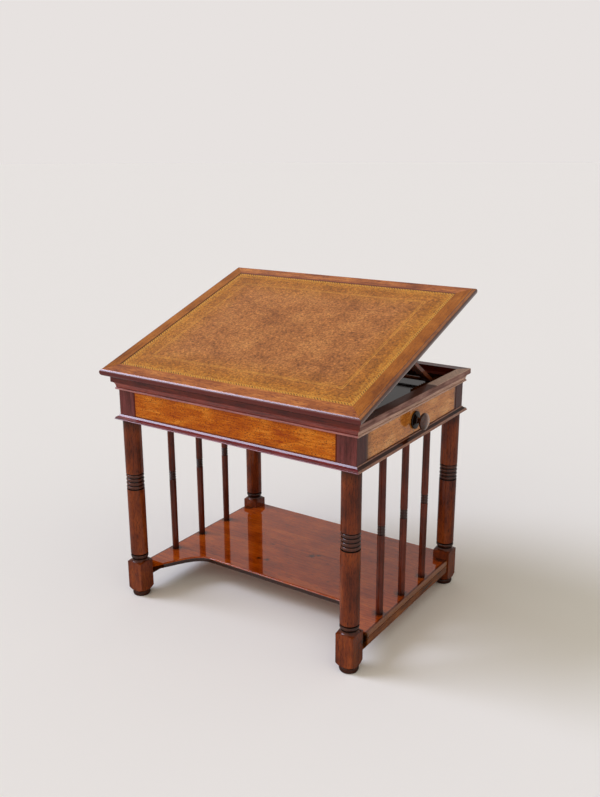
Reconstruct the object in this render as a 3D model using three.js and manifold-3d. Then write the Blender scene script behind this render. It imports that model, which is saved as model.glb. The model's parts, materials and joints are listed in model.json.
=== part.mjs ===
// Tilting reading table in mahogany: a leather-lined top hinged along its front edge over a shallow tray,
// a folding strut that props it on two toothed racks, one end drawer, turned legs, spindles and a low shelf.
// Millimetres, +Z up, X along the front, Y towards the back. The floor is z = 0.
// The origin is under the middle of the whole outline at rest, with the top tilted and the knob standing out.

import * as THREE from 'three';
import { mergeVertices } from 'three/addons/utils/BufferGeometryUtils.js';
import Module from 'manifold-3d';

const wasm = await Module();
wasm.setup();

// Case: outer faces of the corner posts, and the layers from the legs up to the rim
const caseHalfX = 298;
const caseHalfY = 234;
const legHeight = 423.5;
const mouldingHeight = 11;
const friezeHeight = 56.5;
const corniceHeight = 29;

// Cornice and lower moulding: how far they stand out from the case, and how wide the members are
const corniceProjection = 12;
const corniceWidth = 24;
const corniceBead = 5.2;
const corniceCoveHeight = 11.7;
const beadSetbackShare = 0.62;
const filletStepShare = 0.08;
const mouldingProjection = 9.5;
const mouldingWidth = 50;

// Corner posts, frieze rails and how far their show faces lie behind the posts
const postWidthX = 43;
const postWidthY = 35;
const railThickness = 18;
const railSetback = 0.5;

// Tray under the top
const trayDepth = 18;

// Legs: turned from a square billet, with a tenon through the lower moulding into the post
const legInsetX = 19;
const legInsetY = 14.5;
const billetHalf = 20;
const columnRadius = 19.3;
const footRingHeight = 11.6;
const footRingDip = 2.2;
const blockBottom = 21;
const blockTop = 83;
const shoulderHeight = 7;
const neckRadius = 17.2;
const collarRadius = 19.2;
const collarBottom = 94;
const collarHeight = 8;
const collarGroove = 1.6;
const ringBandCentre = 280;
const ringPitch = 8.9;
const ringCount = 4;
const ringGroove = 1.8;
const ringGrooveDepth = 2.3;
const tenonRadius = 9;
const tenonIntoPost = 22;

// Shelf: board, concave front cut, end rails and the screw hole seen on the right edge
const shelfTop = 65;
const shelfThickness = 12;
const shelfPastLegAxis = 17.5;
const shelfCutY = -97;
const shelfCutHalfX = 172;
const endRailHeight = 17;
const endRailThickness = 22;
const screwHoleRadius = 6;
const screwHoleDepth = 6;
const screwHoleFromBlock = 11;

// Spindles, three to each end in line with the legs
const spindlePitch = 98;
const spindleRadius = 7.9;
const spindleEndRadius = 7.2;
const spindleBandCentre = 254;
const spindleBandHeight = 21;
const spindleRings = 3;
const spindleGroove = 2.4;
const spindleGrooveDepth = 1.4;
const spindleTenonRadius = 3.5;
const spindleTenonLength = 8;

// Top: mitred nosed frame, rebated core, leather inlay
const lidOverhangX = 12.5;
const lidOverhangY = 14.5;
const lidFrameThickness = 16;
const lidFrameWidth = 35;
const lidNoseDepth = 5;
const lidCoreInsetX = 4;
const lidCoreInsetY = 5.5;
const lidPlateThickness = 8.3;
const leatherThickness = 1.5;
const leatherBelowFrame = 0.8;

// Tilt of the top at rest, and the hinge that carries it
const restTilt = 18.6;
const hingeFromRimEnd = 110;
const hingeLength = 50;
const hingeKnuckleRadius = 3;
const hingePinRadius = 1.3;
const hingeLeafThickness = 1.5;
const hingeLeafReach = 20;
const hingeAxisInset = 5;
const hingeAxisAboveRim = 0.3;
const lidAboveRim = 0.6;

// Strut: hinged under the top, slope of the strut to the floor at rest, and its timber
const strutFromLidBack = 246.5;
const strutSlope = 33.5;
const strutFromTraySide = 24;
const strutThickness = 8;
const strutStileWidth = 18;
const strutBelowLid = 5.5;
const strutRailWidth = 22;
const strutRailStation = 34;
const strutPinRadius = 2.4;
const bracketThickness = 2;
const bracketLength = 26;
const bracketFlange = 13;
const footOverTeeth = 1.4;

// Toothed racks on the tray floor
const rackWidth = 16;
const rackBase = 1.9;
const rackToothHeight = 3;
const rackToothPitch = 10;
const rackTeeth = 14;
const rackFromTrayBack = 20;

// Drawer at the right-hand end
const drawerFrontSetback = 1;
const drawerFrontThickness = 17;
const drawerFrontGap = 0.7;
const drawerFrontBottomGap = 2;
const drawerLength = 470;
const drawerSideThickness = 9;
const drawerSideHeight = 46;
const drawerBottomThickness = 6;
const drawerBottomRise = 5;
const drawerGrooveDepth = 4;
const runnerHeight = 7;
const runnerShelf = 16;
const guideHeight = 44;

// Knob of the drawer
const knobBaseRadius = 18;
const knobBaseThickness = 4;
const knobNeckRadius = 6;
const knobHeadRadius = 18;
const knobNeckLength = 13;
const knobHeadThickness = 13;
const knobTenonRadius = 5;
const knobTenonLength = 14;

// Clearances: glued joints in the tilted top, sliding and turning fits, and the overrun of every cut
const jointGap = 0.3;
const runningGap = 0.3;
const cutOverrun = 2;
const mergeTolerance = 1e-4;

// How finely round pieces are faceted
const legSides = 16;
const spindleSides = 10;
const pinSides = 12;
const knobSides = 18;
const curveSteps = 4;

// Levels and faces that follow from the sizes above
const mouldingBottom = legHeight;
const friezeBottom = mouldingBottom + mouldingHeight;
const friezeTop = friezeBottom + friezeHeight;
const rimTop = friezeTop + corniceHeight;
const trayFloor = rimTop - trayDepth;
const rimHalfX = caseHalfX + corniceProjection;
const rimHalfY = caseHalfY + corniceProjection;
const trayHalfX = rimHalfX - corniceWidth;
const trayHalfY = rimHalfY - corniceWidth;
const strutHalfX = trayHalfX - strutFromTraySide;
const lidHalfX = rimHalfX + lidOverhangX;
const lidHalfY = rimHalfY + lidOverhangY;
const hingeX = rimHalfX - hingeFromRimEnd;
const rackFrontY = trayHalfY - rackFromTrayBack - rackTeeth * rackToothPitch;
const lidCoreHalfX = rimHalfX - lidCoreInsetX;
const lidCoreHalfY = rimHalfY - lidCoreInsetY;
const legAxisX = caseHalfX - legInsetX;
const legAxisY = caseHalfY - legInsetY;
const spindleX = legAxisX;
const shelfHalfX = legAxisX + shelfPastLegAxis;
const shelfBottom = shelfTop - shelfThickness;
const shelfHalfY = legAxisY + billetHalf;
const endRailBottom = shelfBottom - endRailHeight;
const openingHalfY = caseHalfY - postWidthY;
const tilt = THREE.MathUtils.degToRad(restTilt);
const slope = THREE.MathUtils.degToRad(strutSlope);

// Finishes
const wood = (color, roughness = 0.28) => new THREE.MeshStandardMaterial({ color, roughness, metalness: 0 });
const darkMahogany = wood('#5a2a1a');
const redMahogany = wood('#7a3a1c');
const friezeMahogany = wood('#b4611c', 0.24);
const shelfMahogany = wood('#8a4420', 0.18);
const trayLining = wood('#2a1c16', 0.6);
const drawerLining = wood('#a87a4a', 0.55);
const knobMahogany = wood('#3a1d14', 0.2);
const tannedLeather = new THREE.MeshStandardMaterial({ color: '#a06a34', roughness: 0.5, metalness: 0 });
const agedBrass = new THREE.MeshStandardMaterial({ color: '#9a7a3e', roughness: 0.4, metalness: 0.9 });

// Closed solids from three.js geometry, faces turned outwards
function signedVolume(positions, indices) {
  const a = new THREE.Vector3();
  const b = new THREE.Vector3();
  const c = new THREE.Vector3();
  let sum = 0;
  for (let i = 0; i < indices.length; i += 3) {
    a.fromArray(positions, indices[i] * 3);
    b.fromArray(positions, indices[i + 1] * 3);
    c.fromArray(positions, indices[i + 2] * 3);
    sum += a.dot(b.cross(c));
  }
  return sum;
}

function solid(geometry) {
  const bare = geometry.clone();
  bare.deleteAttribute('normal');
  bare.deleteAttribute('uv');
  const merged = mergeVertices(bare, mergeTolerance);
  const positions = merged.attributes.position.array;
  const indices = [];
  for (let i = 0; i < merged.index.count; i += 3) {
    const [a, b, c] = merged.index.array.slice(i, i + 3);
    if (a !== b && b !== c && c !== a) indices.push(a, b, c);
  }
  if (signedVolume(positions, indices) < 0) indices.reverse();
  return new wasm.Manifold(new wasm.Mesh({
    numProp: 3,
    vertProperties: new Float32Array(positions),
    triVerts: new Uint32Array(indices),
  }));
}

function addPiece(parent, name, body, material) {
  const { vertProperties, triVerts } = body.getMesh();
  const geometry = new THREE.BufferGeometry();
  geometry.setAttribute('position', new THREE.BufferAttribute(new Float32Array(vertProperties), 3));
  geometry.setIndex(new THREE.BufferAttribute(new Uint32Array(triVerts), 1));
  geometry.computeVertexNormals();
  const piece = new THREE.Mesh(geometry, material);
  piece.name = name;
  parent.add(piece);
  return piece;
}

function block(x0, x1, y0, y1, z0, z1) {
  const geometry = new THREE.BoxGeometry(x1 - x0, y1 - y0, z1 - z0);
  geometry.translate((x0 + x1) / 2, (y0 + y1) / 2, (z0 + z1) / 2);
  return solid(geometry);
}

// A turned piece: the profile is a list of [radius, height] points from the bottom to the top
function turned(profile, sides) {
  const geometry = new THREE.LatheGeometry(profile.map(([r, h]) => new THREE.Vector2(r, h)), sides);
  geometry.rotateX(Math.PI / 2);
  return solid(geometry);
}

// A round bar along X between two ends
function barAlongX(radius, x0, x1, y, z, sides) {
  const geometry = new THREE.CylinderGeometry(radius, radius, x1 - x0, sides);
  geometry.rotateZ(Math.PI / 2);
  geometry.translate((x0 + x1) / 2, y, z);
  return solid(geometry);
}

// An outline in the YZ plane, carried along X
function sweptAlongX(outline, x0, x1) {
  const shape = new THREE.Shape(outline.map(([y, z]) => new THREE.Vector2(y, z)));
  const geometry = new THREE.ExtrudeGeometry(shape, { depth: x1 - x0, bevelEnabled: false });
  geometry.applyMatrix4(new THREE.Matrix4().makeBasis(
    new THREE.Vector3(0, 1, 0), new THREE.Vector3(0, 0, 1), new THREE.Vector3(1, 0, 0)));
  geometry.translate(x0, 0, 0);
  return solid(geometry);
}

// One mitred side of a frame. The section is a list of [distance in from the outer edge, height] points.
function mitredSide(section, halfX, halfY, side, mitreGap = 0) {
  const shape = new THREE.Shape(section.map(([inward, z]) => new THREE.Vector2(-inward, z)));
  const geometry = new THREE.ExtrudeGeometry(shape, { depth: 1, steps: 1, bevelEnabled: false });
  const place = geometry.attributes.position;
  const alongX = side === 'front' || side === 'back';
  const sign = side === 'front' || side === 'left' ? -1 : 1;
  for (let i = 0; i < place.count; i++) {
    const outward = place.getX(i);
    const height = place.getY(i);
    const end = 1 - 2 * place.getZ(i);
    const reach = (alongX ? halfX : halfY) + outward - mitreGap / 2;
    const across = (alongX ? halfY : halfX) + outward;
    if (alongX) place.setXYZ(i, -sign * end * reach, sign * across, height);
    else place.setXYZ(i, sign * across, sign * end * reach, height);
  }
  return solid(geometry);
}

const sides = ['front', 'right', 'back', 'left'];

// Rounded steps between two points of a profile: a quarter of an ellipse, hollow or full
function quarter(from, to, hollow, steps = curveSteps) {
  const points = [];
  for (let i = 1; i <= steps; i++) {
    const t = (i / steps) * (Math.PI / 2);
    const u = hollow ? 1 - Math.cos(t) : Math.sin(t);
    const v = hollow ? Math.sin(t) : 1 - Math.cos(t);
    points.push([from[0] + (to[0] - from[0]) * u, from[1] + (to[1] - from[1]) * v]);
  }
  return points;
}

// A half-round bead on a profile that climbs from one height to another
function bead(baseRadius, crestRadius, z0, z1, steps = curveSteps) {
  const points = [];
  for (let i = 0; i <= steps; i++) {
    const t = (i / steps) * Math.PI;
    points.push([baseRadius + (crestRadius - baseRadius) * Math.sin(t), z0 + (z1 - z0) * (1 - Math.cos(t)) / 2]);
  }
  return points;
}

const table = new THREE.Group();

// Corners of the table, for the legs and posts
const corners = [
  ['front_left', -1, -1],
  ['front_right', 1, -1],
  ['back_left', -1, 1],
  ['back_right', 1, 1],
];

// Legs

function legProfile() {
  const corner = billetHalf * Math.SQRT2 + cutOverrun;
  const shoulderTop = blockTop + shoulderHeight;
  const bandHalf = (ringCount * ringPitch + ringGroove) / 2;
  const bandBottom = ringBandCentre - bandHalf;
  const profile = [[0, 0], [billetHalf - footRingDip, 0]];
  profile.push(...bead(billetHalf - footRingDip, billetHalf, 0, footRingHeight).slice(1));
  profile.push([billetHalf + footRingDip, footRingHeight + footRingDip], [corner, blockBottom]);
  profile.push([corner, blockTop], ...quarter([corner, blockTop], [neckRadius, shoulderTop], false));
  profile.push([neckRadius, collarBottom]);
  profile.push(...bead(neckRadius, collarRadius, collarBottom, collarBottom + collarHeight).slice(1));
  profile.push([neckRadius, collarBottom + collarHeight + collarGroove]);
  profile.push([columnRadius, collarBottom + collarHeight + collarGroove]);
  profile.push([columnRadius, bandBottom]);
  for (let ring = 0; ring < ringCount; ring++) {
    const z0 = bandBottom + ring * ringPitch;
    const floor = columnRadius - ringGrooveDepth;
    profile.push([floor, z0], [floor, z0 + ringGroove]);
    profile.push(...bead(floor, columnRadius, z0 + ringGroove, z0 + ringPitch).slice(1, -1));
  }
  const bandTop = bandBottom + ringCount * ringPitch;
  profile.push([columnRadius - ringGrooveDepth, bandTop], [columnRadius - ringGrooveDepth, bandTop + ringGroove]);
  profile.push([columnRadius, bandTop + ringGroove], [columnRadius, legHeight]);
  const tenonTop = legHeight + mouldingHeight + tenonIntoPost;
  profile.push([tenonRadius, legHeight], [tenonRadius, tenonTop], [0, tenonTop]);
  return profile;
}

const legTurning = turned(legProfile(), legSides);
const legBillet = block(-billetHalf, billetHalf, -billetHalf, billetHalf, -cutOverrun,
  legHeight + mouldingHeight + tenonIntoPost + cutOverrun);
const leg = legTurning.intersect(legBillet);
const tenonHole = turned([
  [0, legHeight - cutOverrun],
  [tenonRadius + jointGap, legHeight - cutOverrun],
  [tenonRadius + jointGap, legHeight + mouldingHeight + tenonIntoPost + jointGap],
  [0, legHeight + mouldingHeight + tenonIntoPost + jointGap],
], legSides);

for (const [place, sx, sy] of corners) {
  addPiece(table, `leg_${place}`, leg.translate([sx * legAxisX, sy * legAxisY, 0]), darkMahogany);
}

// Every tenon hole of the case, used to cut the posts and the lower moulding
const allTenonHoles = corners
  .map(([, sx, sy]) => tenonHole.translate([sx * legAxisX, sy * legAxisY, 0]))
  .reduce((sum, hole) => sum.add(hole));

// Corner posts

for (const [place, sx, sy] of corners) {
  const xs = [sx * caseHalfX, sx * (caseHalfX - postWidthX)].sort((a, b) => a - b);
  const ys = [sy * caseHalfY, sy * (caseHalfY - postWidthY)].sort((a, b) => a - b);
  const post = block(...xs, ...ys, friezeBottom, friezeTop).subtract(allTenonHoles);
  addPiece(table, `corner_post_${place}`, post, darkMahogany);
}

// Frieze rails: front, back and left; the drawer fills the right-hand end

const railHalfX = caseHalfX - postWidthX;
for (const [name, sign] of [['frieze_rail_front', -1], ['frieze_rail_back', 1]]) {
  const outer = caseHalfY - railSetback;
  const ys = [sign * outer, sign * (outer - railThickness)].sort((a, b) => a - b);
  addPiece(table, name, block(-railHalfX, railHalfX, ...ys, friezeBottom, friezeTop), friezeMahogany);
}
addPiece(table, 'frieze_rail_left', block(-caseHalfX + railSetback, -caseHalfX + railSetback + railThickness,
  -openingHalfY, openingHalfY, friezeBottom, friezeTop), friezeMahogany);

// Cornice: fillet, cove and bead, mitred round the top of the case

function corniceSection() {
  const coveTop = corniceBead + corniceCoveHeight;
  const beadEdge = corniceProjection * beadSetbackShare;
  const filletStep = corniceProjection * filletStepShare;
  const section = [[corniceWidth, 0], [beadEdge, 0]];
  section.push(...bead(beadEdge, beadEdge - corniceBead / 3, 0, corniceBead).slice(1));
  section.push(...quarter([beadEdge, corniceBead], [filletStep, coveTop], true));
  section.push([0, coveTop + filletStep], [0, corniceHeight], [corniceWidth, corniceHeight]);
  return section.map(([inward, z]) => [inward, z + friezeTop]);
}

// Hinge places. The knuckles lie in the rim, hidden behind its front edge.
const hingeAxisY = -(rimHalfY - hingeAxisInset);
const hingeAxisZ = rimTop + hingeAxisAboveRim;
const lidUnderside = rimTop + lidAboveRim;
const strutStation = lidHalfY - hingeAxisY - strutFromLidBack;
const knuckleRoom = hingeKnuckleRadius + runningGap;
const leafEdgeY = hingeAxisY + knuckleRoom;
const leafBackY = -rimHalfY + hingeLeafReach;
const hinges = [['left', -hingeX], ['right', hingeX]];

function hingeRecess(x, leafLevels, knuckleLevels) {
  const xs = [x - hingeLength / 2 - jointGap, x + hingeLength / 2 + jointGap];
  return block(...xs, hingeAxisY, leafBackY + jointGap, ...leafLevels)
    .add(block(...xs, hingeAxisY - knuckleRoom, leafEdgeY, ...knuckleLevels));
}

for (const side of sides) {
  let member = mitredSide(corniceSection(), rimHalfX, rimHalfY, side);
  if (side === 'front') {
    for (const [, x] of hinges) {
      member = member.subtract(hingeRecess(x, [rimTop - hingeLeafThickness - jointGap, rimTop + cutOverrun],
        [hingeAxisZ - knuckleRoom, rimTop + cutOverrun]));
    }
  }
  addPiece(table, `cornice_${side}`, member, darkMahogany);
}

// Spindle places and the sockets that take their tenons, above and below

const spindlePlaces = [-1, 0, 1].map((n) => n * spindlePitch);
const spindleNames = ['front', 'middle', 'back'];

function spindleSockets(z0, z1) {
  const sockets = [];
  for (const sx of [-1, 1]) {
    for (const y of spindlePlaces) {
      const socket = turned([[0, z0], [spindleTenonRadius + jointGap, z0], [spindleTenonRadius + jointGap, z1], [0, z1]],
        spindleSides);
      sockets.push(socket.translate([sx * spindleX, y, 0]));
    }
  }
  return sockets.reduce((sum, socket) => sum.add(socket));
}

// Lower moulding: a flat mitred frame with a sloping lip, under the frieze and over the legs

function mouldingSection() {
  const lip = mouldingProjection;
  const h = mouldingHeight;
  const lipShares = [[1, 1], [0.6, 0.84], [0.06, 0.55], [0, 0.49], [0.06, 0.44], [0.4, 0.41],
    [0.4, 0.35], [0.28, 0.31], [0.23, 0.18], [0.28, 0.05], [0.4, 0]];
  const section = lipShares.map(([inward, z]) => [inward * lip, z * h]);
  return [...section, [mouldingWidth, 0], [mouldingWidth, h]].map(([inward, z]) => [inward, z + mouldingBottom]);
}

const upperSockets = spindleSockets(legHeight - cutOverrun, legHeight + spindleTenonLength + jointGap);
for (const side of sides) {
  const member = mitredSide(mouldingSection(), caseHalfX + mouldingProjection, caseHalfY + mouldingProjection, side);
  addPiece(table, `lower_moulding_${side}`, member.subtract(allTenonHoles).subtract(upperSockets), darkMahogany);
}

// Tray floor, resting on the frieze inside the cornice

addPiece(table, 'tray_floor', block(-trayHalfX, trayHalfX, -trayHalfY, trayHalfY, friezeTop, trayFloor), trayLining);

// Racks with saw teeth, glued to the tray floor under the strut's two stiles

function rackOutline() {
  const outline = [[rackFrontY, trayFloor]];
  const gullet = trayFloor + rackBase;
  for (let tooth = 0; tooth < rackTeeth; tooth++) {
    const y = rackFrontY + tooth * rackToothPitch;
    outline.push([y, gullet], [y, gullet + rackToothHeight]);
  }
  const end = rackFrontY + rackTeeth * rackToothPitch;
  outline.push([end, gullet], [end, trayFloor]);
  return outline.reverse();
}

for (const [place, sign] of [['left', -1], ['right', 1]]) {
  const rack = sweptAlongX(rackOutline(), sign * strutHalfX - rackWidth / 2, sign * strutHalfX + rackWidth / 2);
  addPiece(table, `ratchet_rack_${place}`, rack, redMahogany);
}

// Shelf with its concave front: its horns butt against the front blocks, its back is notched round the back ones

function shelfOutline() {
  const hornX = legAxisX - billetHalf;
  const hornY = -(legAxisY - billetHalf);
  const acrossShares = [0.36, 0.54];
  const inwardShares = [0.52, 1];
  const controls = [0, 1].map((i) => [
    hornX - (hornX - shelfCutHalfX) * acrossShares[i],
    hornY + (shelfCutY - hornY) * inwardShares[i],
  ]);
  const shape = new THREE.Shape();
  shape.moveTo(-shelfHalfX, hornY);
  shape.lineTo(-hornX, hornY);
  shape.bezierCurveTo(-controls[0][0], controls[0][1], -controls[1][0], controls[1][1], -shelfCutHalfX, shelfCutY);
  shape.lineTo(shelfCutHalfX, shelfCutY);
  shape.bezierCurveTo(controls[1][0], controls[1][1], controls[0][0], controls[0][1], hornX, hornY);
  shape.lineTo(shelfHalfX, hornY);
  shape.lineTo(shelfHalfX, shelfHalfY);
  shape.lineTo(-shelfHalfX, shelfHalfY);
  shape.closePath();
  return shape;
}

const blockHoles = corners.slice(2)
  .map(([, sx, sy]) => {
    const half = billetHalf + jointGap;
    return block(sx * legAxisX - half, sx * legAxisX + half, sy * legAxisY - half, sy * legAxisY + half,
      endRailBottom - cutOverrun, shelfTop + cutOverrun);
  })
  .reduce((sum, hole) => sum.add(hole));

const shelfBoard = solid(new THREE.ExtrudeGeometry(shelfOutline(),
  { depth: shelfThickness, bevelEnabled: false, curveSegments: 2 * curveSteps }).translate(0, 0, shelfBottom));
const lowerSockets = spindleSockets(shelfTop - spindleTenonLength - jointGap, shelfTop + cutOverrun);
addPiece(table, 'shelf', shelfBoard.subtract(blockHoles).subtract(lowerSockets), shelfMahogany);

// End rails under the shelf, from leg block to leg block

for (const [place, sx] of [['left', -1], ['right', 1]]) {
  const xs = [sx * shelfHalfX, sx * (shelfHalfX - endRailThickness)].sort((a, b) => a - b);
  const halfY = legAxisY - billetHalf;
  let rail = block(...xs, -halfY, halfY, endRailBottom, shelfBottom);
  if (place === 'right') {
    const holeY = -halfY + screwHoleFromBlock;
    const holeZ = endRailBottom + endRailHeight / 2;
    rail = rail.subtract(barAlongX(screwHoleRadius, shelfHalfX - screwHoleDepth, shelfHalfX + cutOverrun,
      holeY, holeZ, pinSides));
  }
  addPiece(table, `shelf_end_rail_${place}`, rail, redMahogany);
}

// Spindles, slightly swelled, with fine rings near the middle and a tenon at each end

function spindleProfile() {
  const bandBottom = spindleBandCentre - spindleBandHeight / 2;
  const groovePitch = (spindleBandHeight - spindleGroove) / spindleRings;
  const profile = [[0, shelfTop - spindleTenonLength], [spindleTenonRadius, shelfTop - spindleTenonLength],
    [spindleTenonRadius, shelfTop], [spindleEndRadius, shelfTop]];
  for (let groove = 0; groove <= spindleRings; groove++) {
    const z = bandBottom + groove * groovePitch;
    profile.push([spindleRadius, z], [spindleRadius - spindleGrooveDepth, z + spindleGroove / 2]);
    profile.push([spindleRadius, z + spindleGroove]);
  }
  profile.push([spindleEndRadius, legHeight], [spindleTenonRadius, legHeight]);
  profile.push([spindleTenonRadius, legHeight + spindleTenonLength], [0, legHeight + spindleTenonLength]);
  return profile;
}

const spindle = turned(spindleProfile(), spindleSides);
for (const [place, sx] of [['left', -1], ['right', 1]]) {
  spindlePlaces.forEach((y, i) => {
    addPiece(table, `spindle_${place}_${spindleNames[i]}`, spindle.translate([sx * spindleX, y, 0]), darkMahogany);
  });
}

// Drawer runners: a ledge under the drawer's side and a guide beside it

for (const [place, sign] of [['front', -1], ['back', 1]]) {
  const outer = sign * (caseHalfY - railSetback - railThickness);
  const ledge = sign * (openingHalfY - runnerShelf);
  const guide = sign * openingHalfY;
  const ledgeYs = [outer, ledge].sort((a, b) => a - b);
  const guideYs = [outer, guide].sort((a, b) => a - b);
  const runner = block(-railHalfX, railHalfX, ...ledgeYs, friezeBottom, friezeBottom + runnerHeight)
    .add(block(-railHalfX, railHalfX, ...guideYs, friezeBottom, friezeBottom + guideHeight));
  addPiece(table, `drawer_runner_${place}`, runner, drawerLining);
}

// Drawer

const drawerFrontX = caseHalfX - drawerFrontSetback;
const drawerSideX = drawerFrontX - drawerFrontThickness;
const drawerBackX = drawerFrontX - drawerLength;
const drawerHalfY = openingHalfY - runningGap;
const drawerBase = friezeBottom + runnerHeight + runningGap;
const drawerBottomZ = drawerBase + drawerBottomRise;

function drawerBottomPanel(gap) {
  const halfY = drawerHalfY - drawerSideThickness + drawerGrooveDepth + gap;
  return block(drawerBackX - gap, drawerSideX + drawerGrooveDepth + gap, -halfY, halfY,
    drawerBottomZ - gap, drawerBottomZ + drawerBottomThickness + gap);
}

const drawerGroove = drawerBottomPanel(jointGap);
const drawerFront = block(drawerSideX, drawerFrontX, -openingHalfY + drawerFrontGap, openingHalfY - drawerFrontGap,
  friezeBottom + drawerFrontBottomGap, friezeTop - drawerFrontGap);
const knobHole = barAlongX(knobTenonRadius + jointGap, drawerFrontX - knobTenonLength - jointGap,
  drawerFrontX + cutOverrun, 0, (friezeBottom + friezeTop) / 2, knobSides);
addPiece(table, 'drawer_front', drawerFront.subtract(drawerGroove).subtract(knobHole), friezeMahogany);

for (const [place, sign] of [['front', -1], ['back', 1]]) {
  const ys = [sign * drawerHalfY, sign * (drawerHalfY - drawerSideThickness)].sort((a, b) => a - b);
  const side = block(drawerBackX, drawerSideX, ...ys, drawerBase, drawerBase + drawerSideHeight);
  addPiece(table, `drawer_side_${place}`, side.subtract(drawerGroove), drawerLining);
}
const drawerInnerY = drawerHalfY - drawerSideThickness;
addPiece(table, 'drawer_back', block(drawerBackX, drawerBackX + drawerSideThickness, -drawerInnerY, drawerInnerY,
  drawerBottomZ + drawerBottomThickness + jointGap, drawerBase + drawerSideHeight), drawerLining);
addPiece(table, 'drawer_bottom', drawerBottomPanel(0), drawerLining);

// Knob: tenon, flat rosette, waisted neck and a domed head, turned about X

function knobProfile() {
  const headStart = knobBaseThickness + knobNeckLength;
  const flareRadius = knobNeckRadius * 4 / 3;
  const headShares = [[0.62, 0.04], [0.9, 0.2], [1, 0.42], [0.94, 0.66], [0.7, 0.88], [0.36, 0.98]];
  return [
    [0, -knobTenonLength], [knobTenonRadius, -knobTenonLength], [knobTenonRadius, 0], [knobBaseRadius, 0],
    ...bead(knobBaseRadius, knobBaseRadius + knobBaseThickness / 4, 0, knobBaseThickness, 3).slice(1),
    [flareRadius, knobBaseThickness * 4 / 3],
    [knobNeckRadius, knobBaseThickness + knobNeckLength / 2],
    [flareRadius, headStart],
    ...headShares.map(([r, h]) => [r * knobHeadRadius, headStart + h * knobHeadThickness]),
    [0, headStart + knobHeadThickness],
  ];
}

const knob = turned(knobProfile(), knobSides)
  .rotate([0, 90, 0])
  .translate([drawerFrontX, 0, (friezeBottom + friezeTop) / 2]);
addPiece(table, 'drawer_knob', knob, knobMahogany);

// Hinge leaves fixed to the rim, each with its two outer knuckles and the pin

const knuckleLength = hingeLength / 3;

function hingeTab(x0, x1, z0, z1) {
  return block(x0, x1, hingeAxisY, leafEdgeY + runningGap, z0, z1);
}

for (const [place, x] of hinges) {
  const x0 = x - hingeLength / 2;
  const x1 = x + hingeLength / 2;
  const z0 = rimTop - hingeLeafThickness;
  let leaf = block(x0, x1, leafEdgeY, leafBackY, z0, rimTop);
  for (const [k0, k1] of [[x0, x0 + knuckleLength], [x1 - knuckleLength, x1]]) {
    leaf = leaf.add(hingeTab(k0, k1, z0, rimTop));
    leaf = leaf.add(barAlongX(hingeKnuckleRadius, k0, k1, hingeAxisY, hingeAxisZ, pinSides));
  }
  leaf = leaf.add(barAlongX(hingePinRadius, x0, x1, hingeAxisY, hingeAxisZ, pinSides));
  addPiece(table, `hinge_rim_leaf_${place}`, leaf, agedBrass);
}

// The top turns about the hinge axis. Its pieces are drawn closed, measured from that axis, then tilted.

const lid = new THREE.Group();
lid.position.set(0, hingeAxisY, hingeAxisZ);
lid.rotation.x = tilt;
table.add(lid);

const fromHinge = (body) => body.translate([0, -hingeAxisY, -hingeAxisZ]);
const lidPlateTop = lidUnderside + lidPlateThickness;
const lidFrameBottom = lidPlateTop + jointGap;
const lidTop = lidFrameBottom + lidFrameThickness;
const leatherTop = lidTop - leatherBelowFrame;
const coreTop = leatherTop - leatherThickness - jointGap;
const inlayHalfX = lidHalfX - lidFrameWidth;
const inlayHalfY = lidHalfY - lidFrameWidth;

function lidFrameSection() {
  const nose = [];
  for (let i = 0; i <= 2 * curveSteps; i++) {
    const t = (i / (2 * curveSteps)) * Math.PI;
    nose.push([lidNoseDepth * (1 - Math.sin(t)), lidFrameBottom + lidFrameThickness * (1 - Math.cos(t)) / 2]);
  }
  return [[lidFrameWidth, lidFrameBottom], ...nose, [lidFrameWidth, lidTop]];
}

for (const side of sides) {
  const member = mitredSide(lidFrameSection(), lidHalfX, lidHalfY, side, jointGap);
  addPiece(lid, `top_frame_${side}`, fromHinge(member), redMahogany);
}

// Core: a panel with a rebate all round that the frame sits in

let core = block(-lidCoreHalfX, lidCoreHalfX, -lidCoreHalfY, lidCoreHalfY, lidUnderside, lidPlateTop)
  .add(block(-inlayHalfX + jointGap, inlayHalfX - jointGap, -inlayHalfY + jointGap, inlayHalfY - jointGap,
    lidUnderside, coreTop));
for (const [, x] of hinges) {
  core = core.subtract(hingeRecess(x, [lidUnderside - cutOverrun, lidUnderside + hingeLeafThickness + jointGap],
    [lidUnderside - cutOverrun, hingeAxisZ + knuckleRoom]));
}
addPiece(lid, 'top_core_panel', fromHinge(core), redMahogany);
addPiece(lid, 'leather_inlay', fromHinge(block(-inlayHalfX + jointGap, inlayHalfX - jointGap,
  -inlayHalfY + jointGap, inlayHalfY - jointGap, coreTop + jointGap, leatherTop)), tannedLeather);

// Hinge leaves fixed under the top, each with the middle knuckle bored for the pin

for (const [place, x] of hinges) {
  const x0 = x - hingeLength / 2;
  const x1 = x + hingeLength / 2;
  const k0 = x - knuckleLength / 2 + runningGap;
  const k1 = x + knuckleLength / 2 - runningGap;
  const z1 = lidUnderside + hingeLeafThickness;
  const leaf = block(x0, x1, leafEdgeY, leafBackY, lidUnderside, z1)
    .add(hingeTab(k0, k1, lidUnderside, z1))
    .add(barAlongX(hingeKnuckleRadius, k0, k1, hingeAxisY, hingeAxisZ, pinSides))
    .subtract(barAlongX(hingePinRadius + runningGap, x0, x1, hingeAxisY, hingeAxisZ, pinSides));
  addPiece(lid, `hinge_top_leaf_${place}`, fromHinge(leaf), agedBrass);
}

// Strut pivot under the top, in the closed position

const strutAxisY = hingeAxisY + strutStation;
const strutAxisZ = lidUnderside - strutBelowLid;
const bracketInnerX = strutHalfX + strutStileWidth / 2 + runningGap;
const strutPinEnd = bracketInnerX + bracketThickness + strutPinRadius;

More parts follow.
